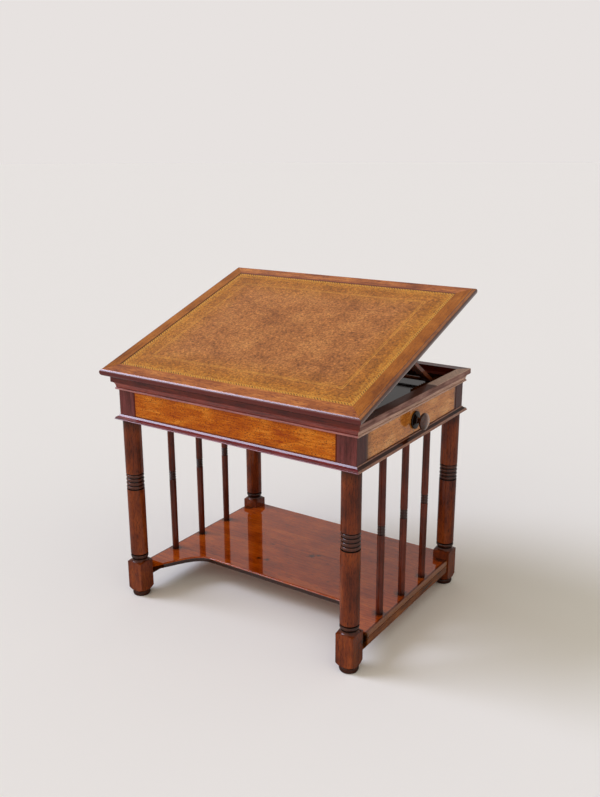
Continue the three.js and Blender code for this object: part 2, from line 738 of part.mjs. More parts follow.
for (const [place, sign] of [['left', -1], ['right', 1]]) {
  const plateXs = [sign * bracketInnerX, sign * (bracketInnerX + bracketThickness)].sort((a, b) => a - b);
  const flangeXs = [sign * bracketInnerX, sign * (bracketInnerX + bracketFlange)].sort((a, b) => a - b);
  const ys = [strutAxisY - bracketLength / 2, strutAxisY + bracketLength / 2];
  const top = lidUnderside - jointGap;
  const cheek = block(...plateXs, strutAxisY - strutThickness, strutAxisY + strutThickness,
    strutAxisZ - strutPinRadius * 2, top);
  const bore = barAlongX(strutPinRadius + runningGap, -rimHalfX, rimHalfX, strutAxisY, strutAxisZ, pinSides);
  const bracket = cheek.add(block(...flangeXs, ...ys, top - bracketThickness, top)).subtract(bore);
  addPiece(lid, `strut_bracket_${place}`, fromHinge(bracket), agedBrass);
}

// Strut: two stiles, a cross rail and a round foot rail, swung down from under the top

const strut = new THREE.Group();
strut.position.set(0, strutAxisY - hingeAxisY, strutAxisZ - hingeAxisZ);
strut.rotation.x = -(tilt + slope);
lid.add(strut);

// The foot rail's height at rest over the rack's teeth sets the strut's length
const footAxisZ = trayFloor + rackBase + rackToothHeight + footOverTeeth + strutThickness / 2;
const pivotAtRestZ = hingeAxisZ + strutStation * Math.sin(tilt) + (strutAxisZ - hingeAxisZ) * Math.cos(tilt);
const strutLength = (pivotAtRestZ - footAxisZ) / Math.sin(slope);
const footRadius = strutThickness / 2;

function stileOutline() {
  const outline = [];
  const ends = [[strutLength + footRadius / 2, -Math.PI / 2], [0, Math.PI / 2]];
  for (const [y, start] of ends) {
    for (let i = 0; i <= curveSteps + 1; i++) {
      const t = start + (i / (curveSteps + 1)) * Math.PI;
      outline.push([y + Math.cos(t) * strutThickness / 2, Math.sin(t) * strutThickness / 2]);
    }
  }
  return outline;
}

for (const [place, sign] of [['left', -1], ['right', 1]]) {
  const centre = sign * strutHalfX;
  const half = strutStileWidth / 2;
  const foot = barAlongX(footRadius * 3 / 4 + jointGap, centre - strutStileWidth, centre + strutStileWidth,
    strutLength, 0, pinSides);
  const pin = barAlongX(strutPinRadius + jointGap, centre - strutStileWidth, centre + strutStileWidth, 0, 0, pinSides);
  const stile = sweptAlongX(stileOutline(), centre - half, centre + half).subtract(foot).subtract(pin);
  addPiece(strut, `strut_stile_${place}`, stile, redMahogany);
  const pinXs = [sign * (strutHalfX - half), sign * strutPinEnd].sort((a, b) => a - b);
  addPiece(strut, `strut_pin_${place}`, barAlongX(strutPinRadius, ...pinXs, 0, 0, pinSides), agedBrass);
}

const railHalf = strutHalfX - strutStileWidth / 2 - jointGap;
addPiece(strut, 'strut_cross_rail', block(-railHalf, railHalf, strutRailStation - strutRailWidth / 2,
  strutRailStation + strutRailWidth / 2, -strutThickness / 2, strutThickness / 2), redMahogany);
const footRod = barAlongX(footRadius, -railHalf, railHalf, strutLength, 0, pinSides)
  .add(barAlongX(footRadius * 3 / 4, -strutHalfX - strutStileWidth / 2, strutHalfX + strutStileWidth / 2,
    strutLength, 0, pinSides));
addPiece(strut, 'strut_foot_rail', footRod, redMahogany);

// The origin moves under the middle of the whole outline at rest

const noseY = -lidHalfY + lidNoseDepth - hingeAxisY;
const noseZ = lidFrameBottom + lidFrameThickness / 2 - hingeAxisZ;
let lowestNose = Infinity;
for (let i = 0; i <= 2 * curveSteps; i++) {
  const t = (i / (2 * curveSteps)) * Math.PI;
  const y = noseY - lidNoseDepth * Math.sin(t);
  const z = noseZ - (lidFrameThickness / 2) * Math.cos(t);
  lowestNose = Math.min(lowestNose, hingeAxisY + y * Math.cos(tilt) - z * Math.sin(tilt));
}
const knobTipX = drawerFrontX + knobBaseThickness + knobNeckLength + knobHeadThickness;
table.position.set(-(knobTipX - lidHalfX) / 2, -(rimHalfY + lowestNose) / 2, 0);

const part = new THREE.Group();
part.name = 'tilting_reading_table';
part.add(table);

export default part;
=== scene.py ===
# %% [markdown]
# # A tilting reading table
# A low mahogany table whose leather-lined top props up on a folding strut. The solids of the table come from
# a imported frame, in metres, with +Z up, +X along the front and +Y towards the raised back. This lesson gives
# each visible piece its fine shape and its finish, and leaves every piece where the frame has it.

# %% Load the frame and measure it
import json
import math

import bmesh
import bpy
from mathutils import Matrix, Vector
from mathutils.geometry import interpolate_bezier


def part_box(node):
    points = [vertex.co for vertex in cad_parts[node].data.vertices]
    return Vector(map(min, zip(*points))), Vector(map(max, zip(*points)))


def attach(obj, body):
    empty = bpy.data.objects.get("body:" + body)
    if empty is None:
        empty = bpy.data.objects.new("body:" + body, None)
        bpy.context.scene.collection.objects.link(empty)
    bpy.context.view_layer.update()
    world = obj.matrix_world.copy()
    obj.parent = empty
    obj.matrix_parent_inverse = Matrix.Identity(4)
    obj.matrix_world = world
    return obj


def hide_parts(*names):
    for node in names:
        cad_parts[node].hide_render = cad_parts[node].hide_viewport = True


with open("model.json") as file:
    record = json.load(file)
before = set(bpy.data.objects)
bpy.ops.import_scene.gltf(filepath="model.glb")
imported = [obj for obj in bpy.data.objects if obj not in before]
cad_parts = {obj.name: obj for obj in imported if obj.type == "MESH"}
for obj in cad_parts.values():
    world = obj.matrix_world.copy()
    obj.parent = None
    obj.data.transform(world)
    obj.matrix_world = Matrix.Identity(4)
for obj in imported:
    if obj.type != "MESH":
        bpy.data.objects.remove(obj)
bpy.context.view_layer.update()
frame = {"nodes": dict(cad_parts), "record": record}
MM = 0.001

# %% [markdown]
# ## Where things are
# The legs stand in a rectangle, so its middle is the middle of the case. The hinge line, the slope of the top
# and the strut's pivot are joint values of the frame, so they are read from its record and not typed again.

# %% Middle of the case, hinge line, slopes
joints = {joint["name"]: joint for joint in frame["record"]["behaviour"]["joints"]}
first_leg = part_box("leg_front_left")
last_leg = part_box("leg_back_right")
case_middle = (first_leg[0] + first_leg[1] + last_leg[0] + last_leg[1]) / 4
case_middle.z = 0
hinge = Vector(joints["lid_tilt"]["pos_m"])
tilt = math.radians(-joints["lid_tilt"]["range_deg"][0])
pivot = Vector(joints["strut_fold"]["pos_m"])
foot_low, foot_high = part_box("strut_foot_rail")
foot = (foot_low + foot_high) / 2 - pivot
strut_length = math.hypot(foot.y, foot.z)
strut_slope = math.atan2(-foot.z, foot.y)
print("case middle:", tuple(round(v * 1000, 2) for v in case_middle), "tilt:", round(math.degrees(tilt), 2),
      "strut:", round(strut_length * 1000, 1), "mm at", round(math.degrees(strut_slope), 1), "degrees")

# %% [markdown]
# ## Colours and nodes
# A colour is given as an sRGB hex value, and the shader wants linear light, so one function turns the first
# into the second. A second small function adds a node: a socket given as an input is linked, anything else is
# set.

# %% Colour and node helpers
def colour(hex_value):
    """sRGB hex to linear RGBA."""
    parts = [int(hex_value[i:i + 2], 16) / 255 for i in (1, 3, 5)]
    return tuple(c / 12.92 if c <= 0.04045 else ((c + 0.055) / 1.055) ** 2.4 for c in parts) + (1.0,)


def add(tree, kind, inputs=None, stops=None, **settings):
    """Adds one node with its settings, its inputs and, for a colour ramp, its stops."""
    made = tree.nodes.new("ShaderNode" + kind)
    for name, value in settings.items():
        setattr(made, name, value)
    for name, value in (inputs or {}).items():
        if isinstance(value, bpy.types.NodeSocket):
            tree.links.new(value, made.inputs[name])
        else:
            made.inputs[name].default_value = value
    if stops:
        ramp = made.color_ramp.elements
        while len(ramp) < len(stops):
            ramp.new(0.5)
        for element, (place, value) in zip(ramp, stops):
            element.position = place
            element.color = colour(value)
    return made


def start_material(name):
    """A new material with an empty node tree, its shader and its output."""
    material = bpy.data.materials.new(name)
    material.use_nodes = True
    tree = material.node_tree
    tree.nodes.clear()
    shader = add(tree, "BsdfPrincipled")
    add(tree, "OutputMaterial", {"Surface": shader.outputs["BSDF"]})
    return material, tree, shader


print("middle grey in linear light:", round(colour("#808080")[0], 3))

# %% [markdown]
# ## The figure of mahogany
# Mahogany has a soft figure that runs along the board, fine streaks in it, short dark pores, and a cross-lit
# mottle. Each of the four is a noise that is squeezed to a size in millimetres along and across the board, so
# a knob and a shelf get grain of the same scale. The Mapping node also turns the raised top's boards flat
# first. Real pores are 0.1 to 0.3 mm wide and wouldn't show, so they are drawn about 1 mm wide and 12 mm
# long.

# %% Noises stretched along the grain
MOTTLE_MM = (60, 40)


def grain_noises(tree, place, along, slope, about, figure_mm, pore_mm):
    """Figure, streaks, mottle and pores of one wood."""
    def stretched(long_mm, wide_mm, shift, **look):
        size = [wide_mm * MM] * 3
        size["XYZ".index(along)] = long_mm * MM
        board = add(tree, "Mapping", {"Vector": place, "Location": (about[0] + shift, about[1], about[2]),
                                      "Rotation": (slope, 0, 0), "Scale": size}, vector_type="TEXTURE")
        return add(tree, "TexNoise", {"Vector": board.outputs[0], "Scale": 1.0, **look}).outputs["Fac"]

    figure = stretched(*figure_mm, 0.0, Detail=5.0, Roughness=0.6, Distortion=1.2)
    streaks = stretched(figure_mm[0] * 0.4, figure_mm[1] * 0.16, 0.3, Detail=4.0, Roughness=0.6)
    mottle = stretched(*MOTTLE_MM, 0.7, Detail=3.0)
    pores = stretched(*pore_mm, 0.5, Detail=2.0, Roughness=0.7)
    return figure, streaks, mottle, pores


print("mottle in mm, along and across the grain:", MOTTLE_MM)

# %% [markdown]
# ## Bands at known distances
# Old wax and dirt stay in the grooves, painted shade lies in grooves and under overhangs, hands rub the edges
# pale, painted highlights and painted light lie on beads, facets and hollows, and the polish stands thick on a
# ring and thin in a hollow. All of these lie at known heights, or at known distances from the middle of the
# case, so one pattern draws them: a value between two distances, another beyond them, and a soft step between.
# A small letter names an axis with its sign, and a capital counts both ways alike, for marks that the left and
# right ends share. On the raised top the height counts from the hinge line, as if the top lay closed.

# %% A value between two distances
def case_measures(tree, place, slope, about):
    """Distances from the middle of the case: x, y and z with a sign, and X, Y and Z alike both ways."""
    flat = add(tree, "Mapping", {"Vector": place, "Location": about, "Rotation": (slope, 0, 0)},
               vector_type="TEXTURE")
    middle = (case_middle.x - about[0], case_middle.y - about[1], 0)
    centred = add(tree, "VectorMath", {0: flat.outputs[0], 1: middle}, operation="SUBTRACT")
    both_ways = add(tree, "VectorMath", {0: centred.outputs[0]}, operation="ABSOLUTE")
    signed = add(tree, "SeparateXYZ", {0: centred.outputs[0]})
    mirrored = add(tree, "SeparateXYZ", {0: both_ways.outputs[0]})
    return dict(zip("xyzXYZ", [*signed.outputs, *mirrored.outputs]))


def level(tree, measures, axis, low, high, fade, inside, outside=1.0):
    """One value from low to high mm along an axis, another beyond, and a step as wide as the fade between."""
    half = (high - low) / 2 * MM
    off = add(tree, "Math", {0: measures[axis], 1: low * MM + half}, operation="SUBTRACT")
    away = add(tree, "Math", {0: off.outputs[0]}, operation="ABSOLUTE")
    step = add(tree, "MapRange", {"Value": away.outputs[0], "From Min": half, "From Max": half + fade * MM,
                                  "To Min": inside, "To Max": outside})
    return step.outputs[0]


print("distances count from:", [round(v * 1000, 2) for v in case_middle])

# %% [markdown]
# ## Patches and stains
# Some dark marks are no full band. A patch is where several bands meet, such as the shaded underside of the
# shelf's edge. A stain is round and ragged, for a knot, a spill, or grime round a screw hole together with the
# hole's painted shade: a noise of about 6 mm moves its rim in and out. Each gives a factor, from near 0 for
# black to 1 for clean wood, and the factors of a wood are multiplied.

# %% Patches and stains
RAGGED_MM = 6


def patch(tree, measures, bands, left):
    """A dark patch where several bands meet. What is left of the wood's own colour is given."""
    outside = level(tree, measures, *bands[0], 0.0)
    for band in bands[1:]:
        outside = add(tree, "Math", {0: outside, 1: level(tree, measures, *band, 0.0)},
                      operation="MAXIMUM").outputs[0]
    return add(tree, "MapRange", {"Value": outside, "To Min": left, "To Max": 1.0}).outputs[0]


def stain(tree, place, x, y, z, radius, left):
    """A ragged round stain about a point, darkest in its middle."""
    ragged = add(tree, "TexNoise", {"Vector": place, "Scale": 1 / (RAGGED_MM * MM), "Detail": 3.0})
    away = add(tree, "VectorMath", {0: place, 1: (x * MM + case_middle.x, y * MM + case_middle.y, z * MM)},
               operation="DISTANCE")
    rim = add(tree, "Math", {0: ragged.outputs["Fac"], 1: radius * 1.4 * MM}, operation="MULTIPLY")
    return add(tree, "MapRange", {"Value": away.outputs["Value"], "From Min": radius * 0.15 * MM,
                                  "From Max": rim.outputs[0], "To Min": left, "To Max": 1.0}).outputs[0]


print("size of the bays in a stain's rim, in mm:", RAGGED_MM)

# %% [markdown]
# ## Dark rims round the spindle feet
# The shelf is darker in a ragged rim round each spindle's foot. The six feet stand in two rows at one pitch,
# so one distance serves them all: across the table from the row, and along it from the nearest whole pitch.

# %% Distance to the nearest spindle foot
front_spindle, middle_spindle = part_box("spindle_right_front"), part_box("spindle_right_middle")
row_x = (front_spindle[0].x + front_spindle[1].x) / 2 - case_middle.x
pitch = middle_spindle[0].y - front_spindle[0].y


def spindle_feet(tree, place):
    """Dark ragged rims round all six feet of the spindles."""
    centred = add(tree, "VectorMath", {0: place, 1: case_middle}, operation="SUBTRACT")
    split = add(tree, "SeparateXYZ", {0: centred.outputs[0]})
    side = add(tree, "Math", {0: split.outputs[0]}, operation="ABSOLUTE")
    across = add(tree, "Math", {0: side.outputs[0], 1: row_x}, operation="SUBTRACT")
    shifted = add(tree, "Math", {0: split.outputs[1], 1: pitch / 2}, operation="ADD")
    near = add(tree, "Math", {0: shifted.outputs[0], 1: pitch}, operation="FLOORED_MODULO")
    along = add(tree, "Math", {0: near.outputs[0], 1: pitch / 2}, operation="SUBTRACT")
    flat = add(tree, "CombineXYZ", {0: across.outputs[0], 1: along.outputs[0]})
    away = add(tree, "VectorMath", {0: flat.outputs[0]}, operation="LENGTH")
    ragged = add(tree, "TexNoise", {"Vector": place, "Scale": 1 / (5 * MM), "Detail": 3.0})
    rim = add(tree, "Math", {0: ragged.outputs["Fac"], 1: 36 * MM}, operation="MULTIPLY")
    return add(tree, "MapRange", {"Value": away.outputs["Value"], "From Min": 8 * MM,
                                  "From Max": rim.outputs[0], "To Min": 0.2, "To Max": 1.0}).outputs[0]


print("spindle rows at", round(row_x * 1000, 1), "mm, pitch", round(pitch * 1000, 1), "mm")

# %% [markdown]
# ## Polished mahogany
# The table is French polished: many thin coats of shellac over a filled grain. The polish is one clear gloss
# layer, so the wood under it has no shine of its own and the coat makes every reflection. One function makes
# the wood of every piece, because they differ only in colour, in the way the grain runs, in their marks and in
# the shine. Levels are dark bands, patches and stains are as above, and the grime colour is what they all
# darken to, both where there is real dirt and where shade is painted. Pale bands turn towards a pale tint
# along the streaks of the grain: rubbed wear on the shelf's ends, and painted highlights and painted light on
# the mouldings and the knob. Glossy bands multiply the coat: a factor above 1 is polish that stands thick, and
# one below 1 is polish rubbed off. A band is an axis, two distances, a fade and a value. A stain is a point, a
# radius and what is left of the wood's colour.

# %% Wood of one colour, with its grain along one axis
SHELLAC_IOR = 1.52


def mahogany(name, deep, middle, light, along, slope=0.0, about=(0, 0, 0), figure_mm=(150, 14),
             pore_mm=(12, 0.9), pores=0.5, coat=0.5, coat_rough=0.1, mottle=0.35, levels=(), patches=(),
             stains=(), foot_rows=False, grime_and_shade="#140804", wear_and_painted_light=(), wear_and_light_tint="#a87868", glossy=()):
    """French-polished mahogany: three tones of its figure, the axis of its grain, its marks, its polish."""
    material, tree, shader = start_material(name)
    place = add(tree, "TexCoord").outputs["Object"]
    measures = case_measures(tree, place, slope, about)
    figure, streaks, clouds, pore = grain_noises(tree, place, along, slope, about, figure_mm, pore_mm)
    lines = add(tree, "Mix", {0: 0.45, 2: figure, 3: streaks})
    tone = add(tree, "Mix", {0: mottle, 2: lines.outputs[0], 3: clouds})
    wood = add(tree, "ValToRGB", {"Fac": tone.outputs[0]},
               [(0.38, deep), (0.5, middle), (0.62, light)]).outputs[0]
    for band in wear_and_painted_light:
        bare = add(tree, "Math", {0: level(tree, measures, *band, 0.0), 1: streaks}, operation="MULTIPLY",
                   use_clamp=True)
        wood = add(tree, "Mix", {0: bare.outputs[0], 6: wood, 7: colour(wear_and_light_tint)},
                   data_type="RGBA").outputs[2]
    marks = [level(tree, measures, *band) for band in levels]
    marks += [patch(tree, measures, *each) for each in patches]
    marks += [stain(tree, place, *each) for each in stains]
    if foot_rows:
        marks.append(spindle_feet(tree, place))
    clean = add(tree, "MapRange", {"Value": pore, "From Min": 0.36, "From Max": 0.47,
                                   "To Min": 1 - pores, "To Max": 1.0}).outputs[0]
    for mark in marks:
        clean = add(tree, "Math", {0: clean, 1: mark}, operation="MULTIPLY").outputs[0]
    stained = add(tree, "Mix", {0: clean, 6: colour(grime_and_shade), 7: wood}, data_type="RGBA")
    tree.links.new(stained.outputs[2], shader.inputs["Base Color"])
    dull = add(tree, "MapRange", {"Value": clouds, "From Min": 0.3, "From Max": 0.7,
                                  "To Min": 0.45, "To Max": 0.6})
    tree.links.new(dull.outputs[0], shader.inputs["Roughness"])
    relief = add(tree, "Bump", {"Strength": 0.12, "Distance": 0.0004, "Height": pore})
    tree.links.new(relief.outputs[0], shader.inputs["Normal"])
    shine = coat
    for band in glossy:
        shine = add(tree, "Math", {0: shine, 1: level(tree, measures, *band)},
                    operation="MULTIPLY").outputs[0]
    if glossy:
        tree.links.new(shine, shader.inputs["Coat Weight"])
    settings = {"Coat Weight": coat, "Coat Roughness": coat_rough, "Coat IOR": SHELLAC_IOR,
                "Specular IOR Level": 0.0}
    for socket, value in settings.items():
        shader.inputs[socket].default_value = value
    return material


print("index of refraction of the shellac coat:", SHELLAC_IOR)

# %% [markdown]
# ## Wood of the legs, posts and spindles
# The uprights are the darkest wood, a deep red-brown that is almost black in the grooves between the turned
# rings, where old wax and painted shade are drawn together. The rings themselves stand proud and are polished
# thick, so each one carries a bright line between two dark ones. Painted shadow darkens the tops of the legs
# and spindles under the lower moulding, painted shade darkens the end faces of the blocks and posts, and wax
# has gathered on the foot rings.

# %% Woods of the legs, posts and spindles
RING_LOW, RING_PITCH = 261.3, 8.9
# The grooves between the leg's rings are painted near black: old wax together with painted shade in the
# grooves.
ring_grooves = tuple(("Z", RING_LOW + RING_PITCH * ring, RING_LOW + RING_PITCH * ring + 1.6, 0.5, 0.08)
                     for ring in range(5))
leg_marks = ring_grooves + (
    ("Z", 261.5, 298.4, 1.2, 0.4),  # the four rings
    ("Z", 94, 101, 0.6, 0.25),  # the collar, between its two grooves
    # painted shade together with old wax in the grooves under and over the collar
    ("Z", 90.5, 93.8, 0.8, 0.05), ("Z", 101, 104.2, 0.5, 0.03),
    ("Z", 87, 90.5, 4, 0.4),  # the shoulder of the block
    ("Z", 0, 12, 3, 0.2),  # the foot ring
    # painted shadow under the lower moulding, at the top of each leg
    ("Z", 420, 424, 26, 0.3),  # under the lower moulding
    # painted shade on the end faces of the blocks
    ("X", 297.2, 299, 0.4, 0.8))  # the end faces of the blocks, away from the window
leg_shine = (("Z", 261.5, 298.4, 1, 1.6), ("Z", 90.8, 93.8, 0.5, 0.15), ("Z", 94.4, 100.6, 0.5, 1.5),
             ("Z", 101, 104.2, 0.5, 0.1), ("Z", 0, 12, 1, 0.8))
leg_wood = mahogany("polished_dark_mahogany", "#421708", "#6c2c0e", "#883e12", "Z", coat=0.4, mottle=0.5,
                    # the black stain by the screw hole is grime together with the hole's painted shade
                    pores=0.8, levels=leg_marks, glossy=leg_shine, stains=((298, -201, 59, 16, 0.0),))
spindle_wood = mahogany("spindle_mahogany", "#3c1408", "#58200e", "#702c14", "Z", coat=0.5,
                        # a darker ring zone, painted shadow under the lower moulding, and darker towards the
                        # foot on the shelf
                        levels=(("Z", 243.5, 263.8, 0.8, 0.3), ("Z", 421, 424, 14, 0.3),
                                ("Z", 65, 67, 12, 0.3)),
                        glossy=(("Z", 243.5, 263.8, 0.8, 1.4),))
post_wood = mahogany("polished_post_mahogany", "#4a1f1b", "#6c3330", "#82423c", "Z", coat=0.4, mottle=0.2,
                     # painted shade on the end faces of the posts
                     levels=(("X", 297.4, 299, 0.4, 0.4),))
print("upright woods:", leg_wood.name, spindle_wood.name, post_wood.name)

# %% [markdown]
# ## Wood of the mouldings
# The mouldings are redder than the legs. Along the front, painted shade darkens the cornice's flat under the
# top, and pale plum bands paint highlights on the beads, painted light in the cornice's hollow and a painted
# reflection on the lower moulding's middle. At the right-hand end they have faded to a dry grey-brown, with
# paler bands of painted light on the arrises and in the cornice's hollow, and painted shade in the middle of
# the lower moulding. A dark line of painted shadow from the raised top lies along the cornice's top arris, in
# front and on part of the ends, and painted shade lies in the step over its hollow. A stick's grain runs along
# it, so the front and back share one wood and the two ends another.

# %% Woods of the cornice and the lower moulding
SIDES = ("front", "right", "back", "left")
GRAIN_OF = {"front": "front", "back": "front", "left": "right", "right": "right"}
FRONT_ARRIS = (("Z", 518.6, 520.5, 0.6), ("y", -260, 0, 5))
END_ARRIS = (("Z", 519.4, 521, 0.3), ("y", -246, 68, 8))
cornice_wood = {
    "front": mahogany("moulding_mahogany_along", "#460f0a", "#761f10", "#923418", "X", coat=0.6,
                      # painted shade on the cornice's flat, under the nose of the top
                      coat_rough=0.07, levels=(("Z", 508.6, 520.5, 0.8, 0.62),),
                      # a painted shadow line from the top along the cornice's top arris
                      patches=((FRONT_ARRIS, 0.3),),
                      # a painted highlight on the bead, and painted light in the hollow
                      wear_and_painted_light=(("Z", 491.6, 495.2, 0.8, 1.4), ("Z", 498, 507, 2, 0.3)), wear_and_light_tint="#c0807a",
                      glossy=(("y", 230, 260, 2, 0.75),)),
    "right": mahogany("moulding_mahogany_across", "#5a3c34", "#8a665c", "#a88678", "Y", coat=0.15,
                      # painted shade in the step over the hollow, and the raised top's painted shadow on the
                      # front of the top arris
                      coat_rough=0.2, levels=(("Z", 505.4, 507, 0.6, 0.1),), patches=((END_ARRIS, 0.1),),
                      grime_and_shade="#48180e",
                      # painted light in the hollow and on the top arris behind that shadow
                      wear_and_painted_light=(("Z", 489, 502, 1.5, 1.15), ("Z", 519.4, 521, 0.3, 2.0)), wear_and_light_tint="#dcb8a2"),
}
lower_wood = {
    "front": mahogany("lower_mahogany_along", "#420f10", "#6c1f1c", "#863430", "X", coat=1.0, coat_rough=0.07,
                      # a painted highlight on the bottom bead, and a painted reflection in the middle
                      wear_and_painted_light=(("Z", 423.6, 425.6, 0.6, 1.2), ("Z", 427.4, 431, 1, 0.25)), wear_and_light_tint="#a46c78"),
    "right": mahogany("lower_mahogany_across", "#2c140c", "#5c2c1a", "#80482a", "Y", coat=0.6,
                      # painted shade in the middle of the moulding
                      coat_rough=0.07, levels=(("Z", 429.6, 432.6, 0.8, 0.35),),
                      glossy=(("Z", 429.6, 432.6, 0.8, 0.5),),
                      # painted highlights on the bottom bead and the top facet
                      wear_and_painted_light=(("Z", 423.4, 428.6, 0.8, 1.5), ("Z", 433.4, 435.4, 0.5, 1.3)),
                      wear_and_light_tint="#b08068"),
}
print("moulding woods:", [wood.name for wood in (*cornice_wood.values(), *lower_wood.values())])

# %% [markdown]
# ## Wood of the frieze
# The frieze panels are the showpiece: a bright orange-gold figured mahogany with large open pores. Dark lines
# lie at the joints beside the posts. Painted shade darkens the panels' foot above the lower moulding, painted
# shadow the drawer's top under the cornice, and painted shade with dirt the drawer's end beside the front
# post. The drawer's front also has a few stains round its knob.

# %% Woods of the frieze panels and the drawer front
frieze_wood = {
    "front": mahogany("figured_mahogany_along", "#983c00", "#c06204", "#e08a28", "X", figure_mm=(90, 13),
                      pore_mm=(4, 1.5), pores=0.9, coat=0.3, coat_rough=0.08, mottle=0.3, grime_and_shade="#5a1c04",
                      # dark joints beside the posts, and painted shade along the foot above the lower moulding
                      levels=(("X", 252, 262, 0.5, 0.0), ("Z", 434, 437, 0.8, 0.25))),
    "right": mahogany("figured_mahogany_across", "#a86228", "#c87e36", "#e0a05a", "Y", figure_mm=(90, 13),
                      pore_mm=(4, 1.4), pores=0.8, coat=0.6, coat_rough=0.05, mottle=0.4, grime_and_shade="#3a1a08",
                      # dark joints at the drawer's ends, painted shadow of the cornice along its top, and
                      # painted shade with dirt beside the front post
                      levels=(("Y", 194, 200, 4, 0.15), ("Z", 489.5, 492, 1.5, 0.4),
                              ("y", -200, -192, 22, 0.5)),
                      stains=((298, -22, 459, 9, 0.35), (298, 24, 450, 7, 0.5), (298, 5, 477, 8, 0.6),
                              (298, 169, 493, 16, 0.15))),
}
print("frieze woods:", [wood.name for wood in frieze_wood.values()])

# %% [markdown]
# ## Wood of the shelf and its end rails
# The shelf is red and has the best polish of all, so it mirrors the legs. It has three groups of small dark
# knots, a worn line along each end, and a shaded underside where the front is hollowed. Its right front corner
# is painted black above the screw hole in the rail: grime round the hole and the hole's painted shade. The
# coat is taken off the front corners, so that this black shows no reflection.

# %% Woods of the shelf and rails
UNDER_FRONT = (("Z", 53, 62, 1.2), ("y", -246, -80, 4), ("X", 0, 290, 2))
UNCOATED_BY_HOLE = (("y", -206, -178, 2, 0.0),)
shelf_knots = ((-79, -32, 65, 14, 0.2), (-58, -28.5, 65, 14, 0.2), (20, 45, 65, 16, 0.15),
               (31, 54, 65, 11, 0.25), (-95, 47, 65, 11, 0.4), (118, -40, 65, 8, 0.5))
shelf_wood = mahogany("mirror_polished_mahogany", "#822e02", "#a34204", "#b75610", "X", figure_mm=(260, 20),
                      pore_mm=(14, 1.4), coat=0.8, coat_rough=0.04, foot_rows=True,
                      levels=(("X", 290.6, 293.2, 1.0, 0.35),),  # a line of dirt beside each end
                      patches=((UNDER_FRONT, 0.06),),
                      # the black stain at the right front corner is grime with the screw hole's painted shade
                      stains=shelf_knots + ((297, -189, 59, 30, 0.0),),
                      wear_and_painted_light=(("X", 294, 297, 0.8, 1.8),), wear_and_light_tint="#7c4c28", glossy=UNCOATED_BY_HOLE)
rail_wood = mahogany("satin_mahogany", "#3a190a", "#6c3610", "#8d4f1c", "Y",
                     # the black stain round the screw hole is grime with the hole's painted shade, and the
                     # coat is taken off there
                     stains=((297, -189, 52, 26, 0.0),), glossy=UNCOATED_BY_HOLE,
                     levels=(("x", -300, -273, 1, 0.3),))  # the left rail stands in shade
print("shelf woods:", shelf_wood.name, rail_wood.name)

# %% [markdown]
# ## Wood of the tilting top
# The top's frame is a lighter orange-brown with coarse pores. Its rounded nose is darkened as painted shade,
# but polished thick, so a bright line runs along it. A dark line of painted shadow lies at the joint with the
# leather, along the back and the left, and a line of painted shade runs just inside the nose of the ends. The
# underside is plain wood that was never polished.

# %% Woods of the top's frame and underside
lid_wood = {
    "front": mahogany("top_mahogany_along", "#70340f", "#ae622c", "#d0843f", "X", slope=tilt, about=hinge,
                      pore_mm=(9, 1.6), pores=0.75, coat=0.45, coat_rough=0.12, mottle=0.35, grime_and_shade="#561a1c",
                      # painted shade on the nose, and a painted shadow line at the back of the leather
                      levels=(("Z", 0, 23.6, 0.8, 0.05), ("y", 224, 228.2, 0.6, 0.2)),
                      glossy=(("Z", 21.6, 24.8, 0.05, 2.2),)),
    "right": mahogany("top_mahogany_across", "#7c4010", "#a25c18", "#b87028", "Y", slope=tilt, about=hinge,
                      pore_mm=(9, 1.4), coat=0.35, coat_rough=0.12, mottle=0.45, grime_and_shade="#3c180a",
                      # painted shade on the nose, a painted shade line just inside it, and a painted shadow
                      # line at the left of the leather
                      levels=(("Z", 0, 21.4, 1.0, 0.1), ("X", 315.6, 316.8, 0.5, 0.3),
                              ("x", -290, -286, 0.6, 0.35)),
                      glossy=(("Z", 0, 24.8, 0.05, 2.8),)),
}
under_wood = mahogany("plain_mahogany", "#28120a", "#3c1d10", "#4c2614", "X", slope=tilt, about=hinge,
                      coat=0.05)
print("woods of the top:", [wood.name for wood in (*lid_wood.values(), under_wood)])

# %% [markdown]
# ## Strut, tray, drawer lining and knob
# The strut is plain red-brown mahogany. The tray is near black and polished, so it mirrors the pale room as a
# grey patch under the raised top. The drawer's lining is bare wood. The knob is almost black, with a bright
# domed head that is painted lighter on one side as a painted reflection of the room, and black dirt where its
# rose meets the drawer.

# %% The smaller woods
strut_wood = mahogany("strut_mahogany", "#4a2112", "#6b351c", "#85482a", "Y", slope=-strut_slope, about=pivot)
tray_wood = mahogany("near_black_tray_board", "#030202", "#060404", "#0a0706", "X", pores=0.0, coat=0.45,
                     coat_rough=0.12)
lining_wood = mahogany("bare_drawer_lining", "#8a5f38", "#a87a4a", "#bf935f", "X", coat=0.0)
knob_wood = mahogany("knob_mahogany", "#2c150c", "#482412", "#66361e", "X", coat=0.4, coat_rough=0.08,
                     levels=(("X", 296, 303.4, 0.8, 0.03),), glossy=(("X", 312, 340, 1, 2.5),),
                     # a painted reflection of the room on one side of the head
                     wear_and_painted_light=(("y", 6, 30, 10, 1.3),), wear_and_light_tint="#c08a5c")
print("smaller woods:", [wood.name for wood in (strut_wood, tray_wood, lining_wood, knob_wood)])

# %% [markdown]
# ## Making a piece
# Every fine piece ends the same way: its mesh gets outward normals, smooth shading that breaks at real
# corners, a material, and two facts for the frame: which solid it stands for and which body it moves with.
# Weighted normals keep a broad flat face flat in its reflections, beside a narrow rounded edge.

# %% Finish a piece
SHARP_FROM = 38  # degrees between two faces
MERGE_WITHIN = 0.01 * MM


